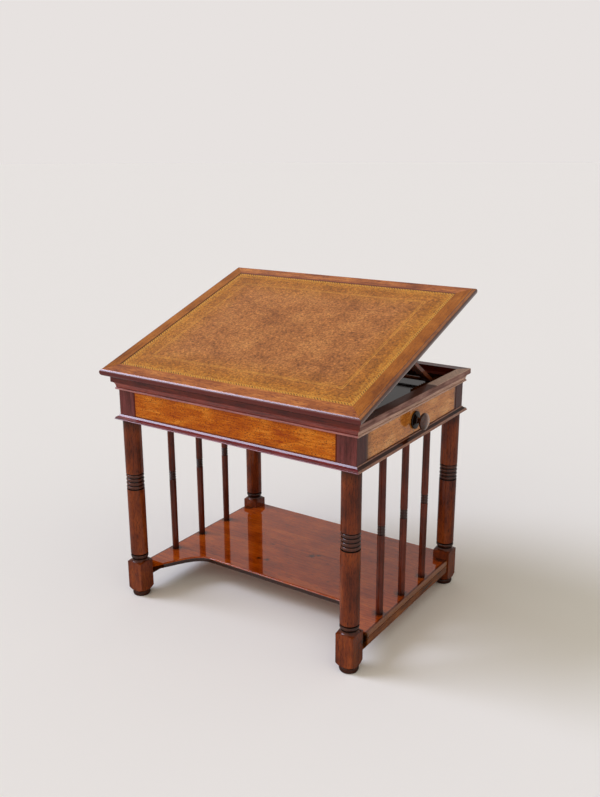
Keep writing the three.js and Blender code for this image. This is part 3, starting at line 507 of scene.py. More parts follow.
def finish_piece(bm, node, body, material):
    """Turns a bmesh into the fine piece that stands for one solid."""
    bmesh.ops.remove_doubles(bm, verts=bm.verts, dist=MERGE_WITHIN)
    bmesh.ops.recalc_face_normals(bm, faces=bm.faces)
    mesh = bpy.data.meshes.new("fine_" + node)
    bm.to_mesh(mesh)
    bm.free()
    mesh.shade_smooth()
    mesh.set_sharp_from_angle(angle=math.radians(SHARP_FROM))
    mesh.materials.append(material)
    piece = bpy.data.objects.new("fine_" + node, mesh)
    bpy.context.scene.collection.objects.link(piece)
    flat = piece.modifiers.new("flat_faces_stay_flat", "WEIGHTED_NORMAL")
    flat.keep_sharp = True
    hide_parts(node)
    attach(piece, body)
    print(node, "faces:", len(mesh.polygons))


# %% [markdown]
# ## Bars and moves
# Most pieces start as a plain bar of wood, and a few moves are shared: sliding a piece into place, rounding
# its edges over, laying turned work on its side, and turning a piece of the closed top up to its slope. Each
# works on the bmesh, so that the finished object stays at the origin, where its pattern and its solid are
# too.

# %% Shared moves
def move(bm, x, y, z):
    """Slides a shape, in metres."""
    bmesh.ops.translate(bm, vec=(x, y, z), verts=bm.verts)


def turn(bm, angle, axis, about=(0, 0, 0)):
    """Turns a shape about a point, by an angle in radians."""
    bmesh.ops.rotate(bm, cent=about, matrix=Matrix.Rotation(angle, 3, axis), verts=bm.verts)


def bar(size, middle):
    """A plain bar of one size about its middle, both in metres."""
    bm = bmesh.new()
    bmesh.ops.create_cube(bm, size=1)
    bmesh.ops.scale(bm, vec=size, verts=bm.verts)
    move(bm, *middle)
    return bm


def round_over(bm, edges, radius, segments=2):
    """Rounds some edges over, with a radius in mm."""
    bmesh.ops.bevel(bm, geom=edges, offset=radius * MM, offset_type="OFFSET", affect="EDGES",
                    segments=segments, profile=0.5, material=-1)


def push_out(bm, face, way):
    """Pulls one face out into a solid, along a way in metres."""
    pulled = bmesh.ops.extrude_face_region(bm, geom=[face])["geom"]
    bmesh.ops.translate(bm, vec=way, verts=[item for item in pulled if isinstance(item, bmesh.types.BMVert)])


QUARTER_TURN = math.pi / 2
print("turned work is laid over by", round(math.degrees(QUARTER_TURN)), "degrees")

# %% [markdown]
# ## Turned work
# A lathe makes a shape that is round about one axis. Here a profile of (radius, height) pairs in millimetres
# becomes a chain of edges, and spin carries it once round. Beads and hollows are short runs of an ellipse in
# the profile.

# %% Profiles and the lathe
def bead(base, crest, z0, z1, steps=8):
    """A half-round bead standing on a turned surface, from one height to another."""
    angles = [math.pi * i / steps for i in range(steps + 1)]
    return [(base + (crest - base) * math.sin(a), z0 + (z1 - z0) * (1 - math.cos(a)) / 2) for a in angles]


def quarter(start, end, hollow, steps=8):
    """A quarter of an ellipse between two points of a profile, hollow or full."""
    points = []
    for i in range(steps + 1):
        a = math.pi / 2 * i / steps
        u, v = (1 - math.cos(a), math.sin(a)) if hollow else (math.sin(a), 1 - math.cos(a))
        points.append((start[0] + (end[0] - start[0]) * u, start[1] + (end[1] - start[1]) * v))
    return points


def lathe(profile, sides):
    """A profile carried once round the upright axis, in so many sides."""
    bm = bmesh.new()
    chain = [bm.verts.new((radius * MM, 0, height * MM)) for radius, height in profile]
    links = [bm.edges.new(pair) for pair in zip(chain, chain[1:])]
    bmesh.ops.spin(bm, geom=chain + links, cent=(0, 0, 0), axis=(0, 0, 1), angle=math.tau, steps=sides,
                   use_merge=True)
    bmesh.ops.remove_doubles(bm, verts=bm.verts, dist=MERGE_WITHIN)
    return bm


print("a bead 8 mm high stands proud by", round(max(r for r, z in bead(17.2, 19.9, 94, 102)) - 17.2, 2), "mm")

# %% [markdown]
# ## Legs
# Each leg is turned from a 40 mm square billet: a foot ring, a block left square, an arched shoulder where
# the turning tool left the square, a collar, and a column with four rings. Spinning the profile and keeping
# only what lies inside a softened square billet gives the block and its arched shoulders by themselves, as
# the lathe does.

# %% The leg's profile
LEG_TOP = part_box("lower_moulding_front")[0].z / MM
BLOCK_LOW, BLOCK_HIGH, BLOCK_CORNER = 21, 83, 30.3


def leg_profile():
    """From the foot up, as (radius, height) in mm. The block is drawn out to its corners."""
    points = [(0, 0), (16.6, 0)] + bead(17.4, 20, 0.4, 11.6)[1:]
    points += [(22.2, 13.8), (BLOCK_CORNER, BLOCK_LOW), (BLOCK_CORNER, BLOCK_HIGH)]
    points += quarter((BLOCK_CORNER, BLOCK_HIGH), (17.2, 90), False)[1:]
    points += [(17.0, 91.2), (17.0, 94)] + bead(17.2, 19.9, 94, 102)[1:] + [(16.9, 102.2), (16.9, 103.4)]
    points += [(19.2, 103.8), (19.75, 104.6), (19.75, RING_LOW)]
    for ring in range(4):
        z = RING_LOW + RING_PITCH * ring
        points += [(17.0, z + 0.2), (17.0, z + 1.6)] + bead(17.4, 19.9, z + 1.8, z + RING_PITCH)[1:-1]
    return points + [(17.0, 297.1), (17.0, 298.6), (19.75, 298.9), (19.75, LEG_TOP), (0, LEG_TOP)]


print("leg height in mm:", round(LEG_TOP, 1), "points in its profile:", len(leg_profile()))

# %% [markdown]
# ## One shape cut by another
# A turner starts from a square stick and stops cutting where the block begins. The same shape is what the
# turned profile and the square stick have in common, and a hole is what a drill takes away from a board. A
# Boolean modifier works out both, and its exact solver copes with faces that lie in one plane.

# %% Two shapes cut by each other
def combine(bm, cutter, operation):
    """One closed mesh cut by another, or kept only inside it."""
    whole, limit = bpy.data.meshes.new("whole"), bpy.data.meshes.new("limit")
    for source, mesh in ((bm, whole), (cutter, limit)):
        bmesh.ops.recalc_face_normals(source, faces=source.faces)
        source.to_mesh(mesh)
        source.free()
    objects = [bpy.data.objects.new(mesh.name, mesh) for mesh in (whole, limit)]
    for item in objects:
        bpy.context.scene.collection.objects.link(item)
    shared = objects[0].modifiers.new("shared", "BOOLEAN")
    shared.operation = operation
    shared.solver = "EXACT"
    shared.object = objects[1]
    result = bmesh.new()
    result.from_object(objects[0], bpy.context.evaluated_depsgraph_get())
    for item in objects:
        bpy.data.objects.remove(item)
    for mesh in (whole, limit):
        bpy.data.meshes.remove(mesh)
    return result


# %% [markdown]
# ## Four legs from one
# The four legs are alike, so one shape is worked out and copied to each corner, at the middle of its solid.
# The billet's arrises are softened by 1 mm first, as on the real blocks.

# %% One leg, then four of them
BILLET = 40


def billet():
    """The square stick that a leg is turned from, with its arrises softened."""
    bm = bar((BILLET * MM, BILLET * MM, (LEG_TOP + 4) * MM), (0, 0, LEG_TOP / 2 * MM))  # a little too long
    upright = [edge for edge in bm.edges if edge.verts[0].co.xy == edge.verts[1].co.xy]
    round_over(bm, upright, 1.1, 3)
    return bm


leg_shape = combine(lathe(leg_profile(), 56), billet(), "INTERSECT")
CORNERS = ("front_left", "front_right", "back_left", "back_right")
for corner in CORNERS:
    low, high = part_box("leg_" + corner)
    leg = leg_shape.copy()
    move(leg, (low.x + high.x) / 2, (low.y + high.y) / 2, 0)
    finish_piece(leg, "leg_" + corner, "case", leg_wood)
leg_shape.free()

# %% [markdown]
# ## Boards
# Posts, rails, tray and drawer start as planks. A plank's arrises are never razor sharp: they are eased with
# a pass of the plane, and that thin rounded line catches the light. Each board takes its size from its solid.

# %% Boards with eased edges
def plank(node, radius):
    """A board as large as its solid, with all its arrises eased."""
    low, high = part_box(node)
    bm = bar(high - low, (low + high) / 2)
    round_over(bm, bm.edges[:], radius)
    return bm


def board(node, body, slot, material, radius=0.7):
    """A plank, finished."""
    finish_piece(plank(node, radius), node, body, material)


for corner in CORNERS:
    board("corner_post_" + corner, "case", "dark_mahogany", post_wood, 0.8)
for side in ("front", "back", "left"):
    board("frieze_rail_" + side, "case", "frieze_mahogany", frieze_wood[GRAIN_OF[side]], 0.5)
board("tray_floor", "case", "tray_lining", tray_wood, 0.3)
board("shelf_end_rail_left", "case", "rail_mahogany", rail_wood, 1.2)
for node in ("drawer_side_front", "drawer_side_back", "drawer_back"):
    board(node, "drawer", "drawer_lining", lining_wood, 0.6)

# %% [markdown]
# ## A screw hole
# The right-hand end rail has a dark screw hole near the front leg. A short turned drill is laid along X and
# cut out of the plank, and the stain in the rail's wood paints the hole and its surroundings black: grime
# round the hole, and painted shade in it.

# %% The right-hand end rail, drilled
HOLE_RADIUS, HOLE_FROM_END = 6, 13
rail_low, rail_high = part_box("shelf_end_rail_right")
drill = lathe([(0, -6), (HOLE_RADIUS, -6), (HOLE_RADIUS, 4), (0, 4)], 32)
turn(drill, QUARTER_TURN, "Y")
move(drill, rail_high.x, rail_low.y + HOLE_FROM_END * MM, (rail_low.z + rail_high.z) / 2)
drilled = combine(plank("shelf_end_rail_right", 1.2), drill, "DIFFERENCE")
finish_piece(drilled, "shelf_end_rail_right", "case", rail_wood)

# %% [markdown]
# ## Mouldings
# A moulding is one section run along a stick, and four sticks meet at mitres. The section is drawn as one
# face, extruded past both corners, and two cuts at 45 degrees leave the mitred stick. It is always drawn as
# the front one, then turned to its side of the case.

# %% Mitred sticks
def mitred_stick(section, half_x, half_y, side, gap=0.0):
    """A section of (distance inward, height) pairs along one side, with an open joint as wide as the gap."""
    along, out = (half_x, half_y) if side in ("front", "back") else (half_y, half_x)
    reach = (along + 4) * MM  # past both corners, for the mitres to cut back
    bm = bmesh.new()
    outline = bm.faces.new([bm.verts.new((-reach, (inward - out) * MM, z * MM)) for inward, z in section])
    push_out(bm, outline, (2 * reach, 0, 0))
    for end in (-1, 1):
        cut = bmesh.ops.bisect_plane(bm, geom=bm.verts[:] + bm.edges[:] + bm.faces[:], clear_outer=True,
                                     plane_co=(end * (along - gap / 2) * MM, -out * MM, 0),
                                     plane_no=(end, 1, 0))
        rim = [edge for edge in cut["geom_cut"] if isinstance(edge, bmesh.types.BMEdge)]
        bmesh.ops.contextual_create(bm, geom=rim)
    turn(bm, SIDES.index(side) * QUARTER_TURN, "Z")
    move(bm, *case_middle)
    return bm


print("sides, each a quarter turn from the last:", SIDES)

# %% [markdown]
# ## Cornice and lower moulding
# The cornice has a small bead, a broad hollow and a flat. The lower moulding has a bead under a splayed
# slope, and the slope is planed in facets, because the facet near 45 degrees is the one that mirrors the
# window as a bright line. Both are set out from the case's own outline and heights.

# %% Cornice and lower moulding
def run_round(name, section, low, high, woods):
    """One section run round all four sides of the case, between two corners of its outline."""
    half = (high - low) / 2 / MM
    for side in SIDES:
        stick = mitred_stick([(inward, z + low.z / MM) for inward, z in section], half.x, half.y, side)
        finish_piece(stick, name + "_" + side, "case", woods[GRAIN_OF[side]])


cornice = [(24, 0.2), (8.2, 0.2)] + bead(8.2, 6.2, 0.2, 4.8)[1:] + [(8.6, 5.1)]
cornice += quarter((8, 5.5), (1, 16.9), True)
cornice += [(0.9, 17.4), (0.3, 17.7), (0, 18.1), (0, 28.2), (0.3, 28.7), (0.8, 29), (23.5, 29), (24, 28.5)]
lower = [(9.6, 11), (9.3, 10.9), (6.4, 7.9), (6.0, 7.6), (2.6, 5.7), (1.5, 5.0), (1.3, 4.4), (1.2, 3.5),
         (2.6, 3.3)]
lower += bead(2.6, 0, 0.1, 3.2)[1:-1][::-1] + [(2.6, 0), (50, 0), (50, 11)]
run_round("cornice", cornice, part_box("cornice_front")[0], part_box("cornice_back")[1], cornice_wood)
run_round("lower_moulding", lower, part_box("lower_moulding_front")[0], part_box("lower_moulding_back")[1],
          lower_wood)

# %% [markdown]
# ## Shelf
# The shelf is one wide board. Its front edge is hollowed between the legs so that knees and feet have room,
# and its back corners are notched round the leg blocks. The curve is a Bezier curve, as a maker's thin batten
# would bend, and the long edges are rounded over. The notches' edges, which fit against the legs, stay
# square.

# %% The hollowed shelf
SHELF_UNDER, SHELF_THICK = 53, 12
NOTCH_X, NOTCH_Y = 258.7, 199.2


def shelf_outline():
    """The shelf from above, in mm from the middle of the case, with its left half a mirror of the right."""
    horn, start = Vector((259, -199.5, 0)), Vector((172, -97, 0))
    curve = interpolate_bezier(start, Vector((212, -97, 0)), Vector((227.7, -146.2, 0)), horn, 24)
    right = [(p.x, p.y) for p in curve]
    right += [(296.5, -199.5), (296.5, NOTCH_Y), (NOTCH_X, NOTCH_Y), (NOTCH_X, 239.5)]
    return right + [(-x, y) for x, y in reversed(right)]


def in_a_notch(edge):
    """Whether an edge of the shelf lies along one of its two notches."""
    middle = (edge.verts[0].co + edge.verts[1].co) / 2
    return middle.y > (NOTCH_Y - 0.1) * MM and abs(middle.x) > (NOTCH_X - 0.1) * MM


shelf = bmesh.new()
plan = shelf.faces.new([shelf.verts.new((x * MM, y * MM, SHELF_UNDER * MM)) for x, y in shelf_outline()])
push_out(shelf, plan, (0, 0, SHELF_THICK * MM))
half_way = (SHELF_UNDER + SHELF_THICK / 2) * MM
upper_edges = [edge for edge in shelf.edges
               if min(v.co.z for v in edge.verts) > half_way and not in_a_notch(edge)]
under_edges = [edge for edge in shelf.edges
               if max(v.co.z for v in edge.verts) < half_way and not in_a_notch(edge)]
round_over(shelf, upper_edges, 4.4, 5)
round_over(shelf, under_edges, 2.6, 5)
move(shelf, *case_middle)
finish_piece(shelf, "shelf", "case", shelf_wood)

# %% [markdown]
# ## Spindles
# Three thin spindles fill each end. They swell slightly to the middle, where three fine rings are cut.

# %% Spindles
FINE_RING_LOW, FINE_RING_PITCH = 243.6, 6.2


def spindle_profile():
    """From the shelf up, as (radius, height) in mm."""
    shelf_top = SHELF_UNDER + SHELF_THICK
    points = [(0, shelf_top), (7.5, shelf_top), (7.95, 243)]
    for ring in range(3):
        z = FINE_RING_LOW + FINE_RING_PITCH * ring
        points += [(6.5, z + 0.5), (6.5, z + 1.6)] + bead(6.9, 8.0, z + 1.9, z + FINE_RING_PITCH, 6)[1:-1]
    return points + [(6.5, 262.7), (6.5, 263.8), (7.95, 264.4), (7.5, LEG_TOP), (0, LEG_TOP)]


spindle_shape = lathe(spindle_profile(), 32)
for end in ("left", "right"):
    for place in ("front", "middle", "back"):
        node = f"spindle_{end}_{place}"
        low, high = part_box(node)
        spindle = spindle_shape.copy()
        move(spindle, (low.x + high.x) / 2, (low.y + high.y) / 2, 0)
        finish_piece(spindle, node, "case", spindle_wood)
spindle_shape.free()

# %% [markdown]
# ## Knob
# The drawer knob is turned too: a flat rose against the drawer, a waisted neck and a domed head. It is drawn
# upright and laid over onto the drawer's front.

# %% Knob
knob_profile = [(0, 0), (17.2, 0)] + bead(17.4, 18.7, 0.2, 4, 6)[1:] + [(15.6, 4.3), (11, 4.9)]
knob_profile += quarter((9, 5.3), (5.8, 9.6), False, 6) + quarter((5.8, 9.8), (9.4, 15), True, 6)
knob_profile += [(12.4, 15.6), (16.2, 17), (17.8, 19.4), (18.0, 21.2), (17.0, 24), (14.2, 26.2), (10.2, 27.6),
                 (5.2, 28.3), (0, 28.5)]
knob = lathe(knob_profile, 48)
turn(knob, QUARTER_TURN, "Y")
knob_low, knob_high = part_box("drawer_knob")
move(knob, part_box("drawer_front")[1].x, (knob_low.y + knob_high.y) / 2, (knob_low.z + knob_high.z) / 2)
finish_piece(knob, "drawer_knob", "drawer", knob_wood)
board("drawer_front", "drawer", "frieze_mahogany", frieze_wood["right"], 0.6)

# %% [markdown]
# ## The tilting top
# The top is a mitred frame with a rounded nose round a rebated core, and a leather inlay lies in it. The nose
# is a thumb moulding: full below, with a steep facet near its upper edge that mirrors the window as a bright
# line. The mitres have opened by a hair. The frame is drawn closed, flat on the case, and then turned about
# the hinge line like the real one.

# %% Nosed frame of the top
TOP_HALF_X, TOP_HALF_Y = 322.5, 260.5
FRAME_WIDTH, OPEN_MITRE = 35, 0.3
nose = [(5, 529.2), (3.6, 529.7), (2.3, 530.7), (1.2, 532.2), (0.5, 533.9), (0.1, 535.8), (0, 537.4),
        (0.1, 539), (0.4, 540.4), (0.95, 541.7), (1.75, 542.7), (2.85, 543.5), (4.1, 544.2), (5.4, 544.8),
        (6.3, 545.05), (7.4, 545.2)]
top_section = [(FRAME_WIDTH, 529.2)] + nose + [(FRAME_WIDTH - 0.6, 545.2), (FRAME_WIDTH, 544.6)]
for side in SIDES:
    stick = mitred_stick(top_section, TOP_HALF_X, TOP_HALF_Y, side, OPEN_MITRE)
    turn(stick, tilt, "X", hinge)
    finish_piece(stick, "top_frame_" + side, "lid", lid_wood[GRAIN_OF[side]])

# %% [markdown]
# ## Distances on the leather
# The inlay is calf, and its border is tooled along the inlay's own edges. So the material turns Object
# coordinates back to the closed top, and measures the distance to the nearest edge. Every line of the tooling
# is then a band of that distance. The skin's own patterns are noises with a size in millimetres.

# %% The leather's plane, its edge, and patterns on it
def inlay_plane(tree, half_x, half_y):
    """Coordinates on the closed inlay, the same from its middle, and the distance to its nearest edge."""
    place = add(tree, "TexCoord").outputs["Object"]
    flat = add(tree, "Mapping", {"Vector": place, "Location": hinge, "Rotation": (tilt, 0, 0)},
               vector_type="TEXTURE").outputs[0]
    centred = add(tree, "VectorMath", {0: flat, 1: (case_middle.x, case_middle.y - hinge.y, 0)},
                  operation="SUBTRACT")
    split = add(tree, "SeparateXYZ", {0: centred.outputs[0]})
    inward = []
    for socket, half in ((split.outputs[0], half_x), (split.outputs[1], half_y)):
        away = add(tree, "Math", {0: socket}, operation="ABSOLUTE")
        inward.append(add(tree, "Math", {0: half, 1: away.outputs[0]}, operation="SUBTRACT").outputs[0])
    edge = add(tree, "Math", {0: inward[0], 1: inward[1]}, operation="MINIMUM").outputs[0]
    return flat, split, edge


def skin(tree, flat, size_mm, detail, rough=0.5, shift=0.0):
    """A noise of one size in mm on the leather. The shift keeps two of them from lying alike."""
    scaled = add(tree, "Mapping", {"Vector": flat, "Location": (shift, 0, 0), "Scale": (size_mm * MM,) * 3},
                 vector_type="TEXTURE")
    return add(tree, "TexNoise", {"Vector": scaled.outputs[0], "Scale": 1.0, "Detail": detail,
                                  "Roughness": rough}).outputs["Fac"]


def tooled_band(tree, edge, start_mm, end_mm, soft_mm=0.4):
    """1 between two distances from the edge, 0 elsewhere."""
    rise = add(tree, "MapRange", {"Value": edge, "From Min": (start_mm - soft_mm) * MM,
                                  "From Max": start_mm * MM})
    fall = add(tree, "MapRange", {"Value": edge, "From Min": end_mm * MM, "From Max": (end_mm + soft_mm) * MM,
                                  "To Min": 1.0, "To Max": 0.0})
    return add(tree, "Math", {0: rise.outputs[0], 1: fall.outputs[0]}, operation="MULTIPLY").outputs[0]


LEATHER_HALF = Vector((287.2, 225.2))
print("leather inlay in mm:", tuple(round(v * 2, 1) for v in LEATHER_HALF))

# %% [markdown]
# ## Dyed calf
# The skin was dyed by hand and has been handled for years, so it is mottled: broad clouds, finer mottling,
# and the grain of the skin as small dark and light specks. It is redder in the middle and more golden towards
# the border. Real grain is about 1 mm across and wouldn't show, so it is drawn 4.6 mm coarse.

# %% Dyed calf
GOLDEN_TO, RED_FROM = 15, 95


def dyed_calf(tree, edge, clouds, mottling, grain):
    """The colour of the leather before it is tooled."""
    tone = add(tree, "Mix", {0: 0.6, 2: clouds, 3: mottling})
    middle = add(tree, "ValToRGB", {"Fac": tone.outputs[0]},
                 [(0.4, "#8a5226"), (0.5, "#ac6c36"), (0.6, "#bd7e42")])
    rim = add(tree, "ValToRGB", {"Fac": tone.outputs[0]},
              [(0.4, "#8f5618"), (0.5, "#a8661c"), (0.6, "#b87828")])
    inward = add(tree, "MapRange", {"Value": edge, "From Min": GOLDEN_TO * MM, "From Max": RED_FROM * MM})
    dyed = add(tree, "Mix", {0: inward.outputs[0], 6: rim.outputs["Color"], 7: middle.outputs["Color"]},
               data_type="RGBA")
    speck = add(tree, "MapRange", {"Value": grain, "From Min": 0.3, "From Max": 0.7,
                                   "To Min": 0.3, "To Max": 1.6})
    return add(tree, "Mix", {0: 1.0, 6: dyed.outputs[2], 7: speck.outputs[0]}, data_type="RGBA",
               blend_type="MULTIPLY").outputs[2]


print("the leather turns from golden to red-brown between", GOLDEN_TO, "and", RED_FROM, "mm from its edge")

# %% [markdown]
# ## The tooled border
# A bookbinder rolls heated brass wheels over gold leaf along a straight edge. Here one wheel left a gold line
# with slanted dark strokes close to the edge, another a broad band of flecks, and a third a fine double line
# further in. The gold has worn off in places, so a noise of 16 mm thins the lines. A sine along the sum of x
# and y gives strokes that slant at 45 degrees. The real strokes are finer and wouldn't show, so they are
# drawn 6.5 mm apart.

# %% Gold and strokes of the border
STROKE_MM = 6.5


def border(tree, flat, split, edge):
    """How much gold lies on the leather, and how dark the strokes beside it are."""
    flecks = add(tree, "MapRange", {"Value": skin(tree, flat, 3.2, 2.0, 0.5, 0.2), "From Min": 0.46,
                                    "From Max": 0.56})
    gilt = add(tree, "Math", {0: tooled_band(tree, edge, 4, 19, 1.5), 1: flecks.outputs[0]},
               operation="MULTIPLY")
    flecked = add(tree, "Math", {0: gilt.outputs[0], 1: 0.5}, operation="MULTIPLY")
    wear_and_painted_light = add(tree, "MapRange", {"Value": skin(tree, flat, 16, 3.0, 0.6, 0.6), "From Min": 0.4,
                                  "From Max": 0.6, "To Min": 0.35, "To Max": 0.8})
    double = add(tree, "Math", {0: tooled_band(tree, edge, 46.8, 48.8),
                                1: tooled_band(tree, edge, 51.2, 52.4)},
                 operation="MAXIMUM")
    fine = add(tree, "Math", {0: double.outputs[0], 1: wear_and_painted_light.outputs[0]}, operation="MULTIPLY")
    ruled = add(tree, "Math", {0: fine.outputs[0], 1: tooled_band(tree, edge, 0.6, 7)}, operation="MAXIMUM")
    gold = add(tree, "Math", {0: flecked.outputs[0], 1: ruled.outputs[0]}, operation="MAXIMUM")
    slant = add(tree, "Math", {0: split.outputs[0], 1: split.outputs[1]}, operation="ADD")
    turns = add(tree, "Math", {0: slant.outputs[0], 1: math.tau / (STROKE_MM * MM)}, operation="MULTIPLY")
    wave = add(tree, "Math", {0: turns.outputs[0]}, operation="SINE")
    stroke = add(tree, "MapRange", {"Value": wave.outputs[0], "From Min": -0.4, "From Max": 0.2})
    edged = add(tree, "Math", {0: tooled_band(tree, edge, 0.8, 5.8), 1: stroke.outputs[0]},
                operation="MULTIPLY")
    strokes = add(tree, "Math", {0: edged.outputs[0], 1: wear_and_painted_light.outputs[0]}, operation="MULTIPLY")
    return gold.outputs[0], strokes.outputs[0]


print("strokes of the border, in mm from one to the next:", STROKE_MM)

# %% [markdown]
# ## Leather
# The tooling is pressed into the leather, so it drives the bump as well as the colour, together with the
# grain of the skin. Waxed leather has a low broad shine that follows the mottling. The inlay itself is a thin
# flat sheet with softened edges.

# %% The leather and its inlay
def tooled_leather(half_x, half_y):
    """Dyed and gilt calf, laid out from the edges of the inlay."""
    material, tree, shader = start_material("tooled_leather")
    flat, split, edge = inlay_plane(tree, half_x, half_y)
    clouds, mottling = skin(tree, flat, 60, 4.0), skin(tree, flat, 11, 6.0, 0.8, 0.4)
    grain = skin(tree, flat, 4.6, 3.0, 0.8, 0.9)
    gold, strokes = border(tree, flat, split, edge)
    gilded = add(tree, "Mix", {0: gold, 6: dyed_calf(tree, edge, clouds, mottling, grain),
                               7: colour("#d29238")},
                 data_type="RGBA")
    inked = add(tree, "Mix", {0: strokes, 6: gilded.outputs[2], 7: colour("#2c1408")}, data_type="RGBA")
    tree.links.new(inked.outputs[2], shader.inputs["Base Color"])
    pressed = add(tree, "Math", {0: gold, 1: strokes}, operation="MAXIMUM")
    height = add(tree, "Math", {0: grain, 1: pressed.outputs[0]}, operation="SUBTRACT")
    relief = add(tree, "Bump", {"Strength": 0.5, "Distance": 0.0004, "Height": height.outputs[0]})
    tree.links.new(relief.outputs[0], shader.inputs["Normal"])
    gloss = add(tree, "MapRange", {"Value": mottling, "From Min": 0.3, "From Max": 0.7, "To Min": 0.42,
                                   "To Max": 0.55})
    tree.links.new(gloss.outputs[0], shader.inputs["Roughness"])
    shader.inputs["IOR"].default_value = 1.45
    shader.inputs["Specular IOR Level"].default_value = 0.2
    return material


LEATHER_THICK, LEATHER_HEIGHT = 1.5, 543.65
leather = bar((LEATHER_HALF.x * 2 * MM, LEATHER_HALF.y * 2 * MM, LEATHER_THICK * MM),
              (case_middle.x, case_middle.y, LEATHER_HEIGHT * MM))
round_over(leather, leather.edges[:], 0.6)
turn(leather, tilt, "X", hinge)
finish_piece(leather, "leather_inlay", "lid",
             tooled_leather(LEATHER_HALF.x * MM, LEATHER_HALF.y * MM))

# %% [markdown]
# ## Strut
# Two stiles, a flat cross rail and a round foot rail make a light frame that swings down from under the top.
# It is drawn lying along +Y from its pivot and then turned down to its slope. The stiles' ends are rounded,
# so that they can turn in their brackets.

# %% Stiles and rails of the strut
STILE_X, STILE_WIDE, STRUT_THICK = 262, 18, 8
PAST_PIVOT, PAST_FOOT = 4, 6
CROSS_FROM_PIVOT, CROSS_WIDE = 34, 22
ROD_RADIUS, TENON_RADIUS = 4, 3
inner, outer = STILE_X - STILE_WIDE / 2 - 0.3, STILE_X + STILE_WIDE / 2


def swing_down(bm, node):
    """Turns a piece of the strut down from its pivot and finishes it."""
    turn(bm, -strut_slope, "X")
    move(bm, 0, pivot.y, pivot.z)
    finish_piece(bm, node, "strut", strut_wood)


for end, sign in (("left", -1), ("right", 1)):
    stile = bar((STILE_WIDE * MM, strut_length + (PAST_PIVOT + PAST_FOOT) * MM, STRUT_THICK * MM),
                (sign * STILE_X * MM + case_middle.x,
                 strut_length / 2 + (PAST_FOOT - PAST_PIVOT) / 2 * MM, 0))
    ends = [edge for edge in stile.edges if edge.verts[0].co.yz == edge.verts[1].co.yz]
    round_over(stile, ends, STRUT_THICK / 2 - 0.1, 6)
    swing_down(stile, "strut_stile_" + end)
cross = bar((2 * inner * MM, CROSS_WIDE * MM, STRUT_THICK * MM), (case_middle.x, CROSS_FROM_PIVOT * MM, 0))
round_over(cross, cross.edges[:], 1)
swing_down(cross, "strut_cross_rail")
rod = lathe([(0, -outer), (TENON_RADIUS, -outer), (TENON_RADIUS, -inner), (ROD_RADIUS, -inner),
             (ROD_RADIUS, inner), (TENON_RADIUS, inner), (TENON_RADIUS, outer), (0, outer)], 24)
turn(rod, QUARTER_TURN, "Y")
move(rod, case_middle.x, strut_length, 0)
swing_down(rod, "strut_foot_rail")

# %% [markdown]
# ## Aged brass
# Hinges, brackets and pins are cast and drawn brass gone brown with age: a metal, so its colour is in its
# reflection, with a duller film in patches about 8 mm wide.

# %% Brass
aged_brass, tree, shader = start_material("aged_brass")
place = add(tree, "TexCoord").outputs["Object"]
film = add(tree, "TexNoise", {"Vector": place, "Scale": 1 / (8 * MM), "Detail": 4.0})
tint = add(tree, "ValToRGB", {"Fac": film.outputs["Fac"]},
           [(0.35, "#5f4722"), (0.55, "#8f7138"), (0.7, "#ad8d4b")])
tree.links.new(tint.outputs["Color"], shader.inputs["Base Color"])
dull = add(tree, "MapRange", {"Value": film.outputs["Fac"], "To Min": 0.55, "To Max": 0.3})
tree.links.new(dull.outputs[0], shader.inputs["Roughness"])
shader.inputs["Metallic"].default_value = 1.0
print("metal:", aged_brass.name)

# %% [markdown]
# ## Solids that keep their own shape
# The hinges, brackets, pins, racks and the drawer's runners are small or hidden, and their solids are already
# as fine as they need to be. They only get their material, in place of the one that the frame gave them.

# %% Materials for the solids that stay
kept = {
    aged_brass: ("hinge_rim_leaf_left", "hinge_rim_leaf_right", "hinge_top_leaf_left", "hinge_top_leaf_right",
                 "strut_bracket_left", "strut_bracket_right", "strut_pin_left", "strut_pin_right"),
    under_wood: ("top_core_panel",),
    rail_wood: ("ratchet_rack_left", "ratchet_rack_right"),
    lining_wood: ("drawer_bottom", "drawer_runner_front", "drawer_runner_back"),
}
for material, nodes in kept.items():
    for node in nodes:
        for item in frame["nodes"][node].material_slots:
            item.material = material
print("solids that stay:", sum(len(nodes) for nodes in kept.values()))

# %% [markdown]
# ## Floor
# A plain pale floor takes the table's shadow. It is a wide disc, so that its edge lies at the horizon from
# any side.

# %% Floor
FLOOR_RADIUS = 60
floor_bm = bmesh.new()
bmesh.ops.create_circle(floor_bm, cap_ends=True, radius=FLOOR_RADIUS, segments=96)
floor_mesh = bpy.data.meshes.new("floor")
floor_bm.to_mesh(floor_mesh)
floor_bm.free()
floor = bpy.data.objects.new("floor", floor_mesh)
bpy.context.scene.collection.objects.link(floor)
floor_material, tree, shader = start_material("pale_floor")
shader.inputs["Base Color"].default_value = colour("#f6f2e7")
shader.inputs["Roughness"].default_value = 0.8
shader.inputs["Specular IOR Level"].default_value = 0.0
floor_mesh.materials.append(floor_material)
print("floor radius in metres:", FLOOR_RADIUS)

# %% [markdown]
# ## The room
# The world is what the polish mirrors and what shows behind the table, so there it has one plain pale tone.
# It lights the table with less strength than that, or every hollow would be filled with light. A Light Path
# node tells the rays that see the world from those that are lit by it.

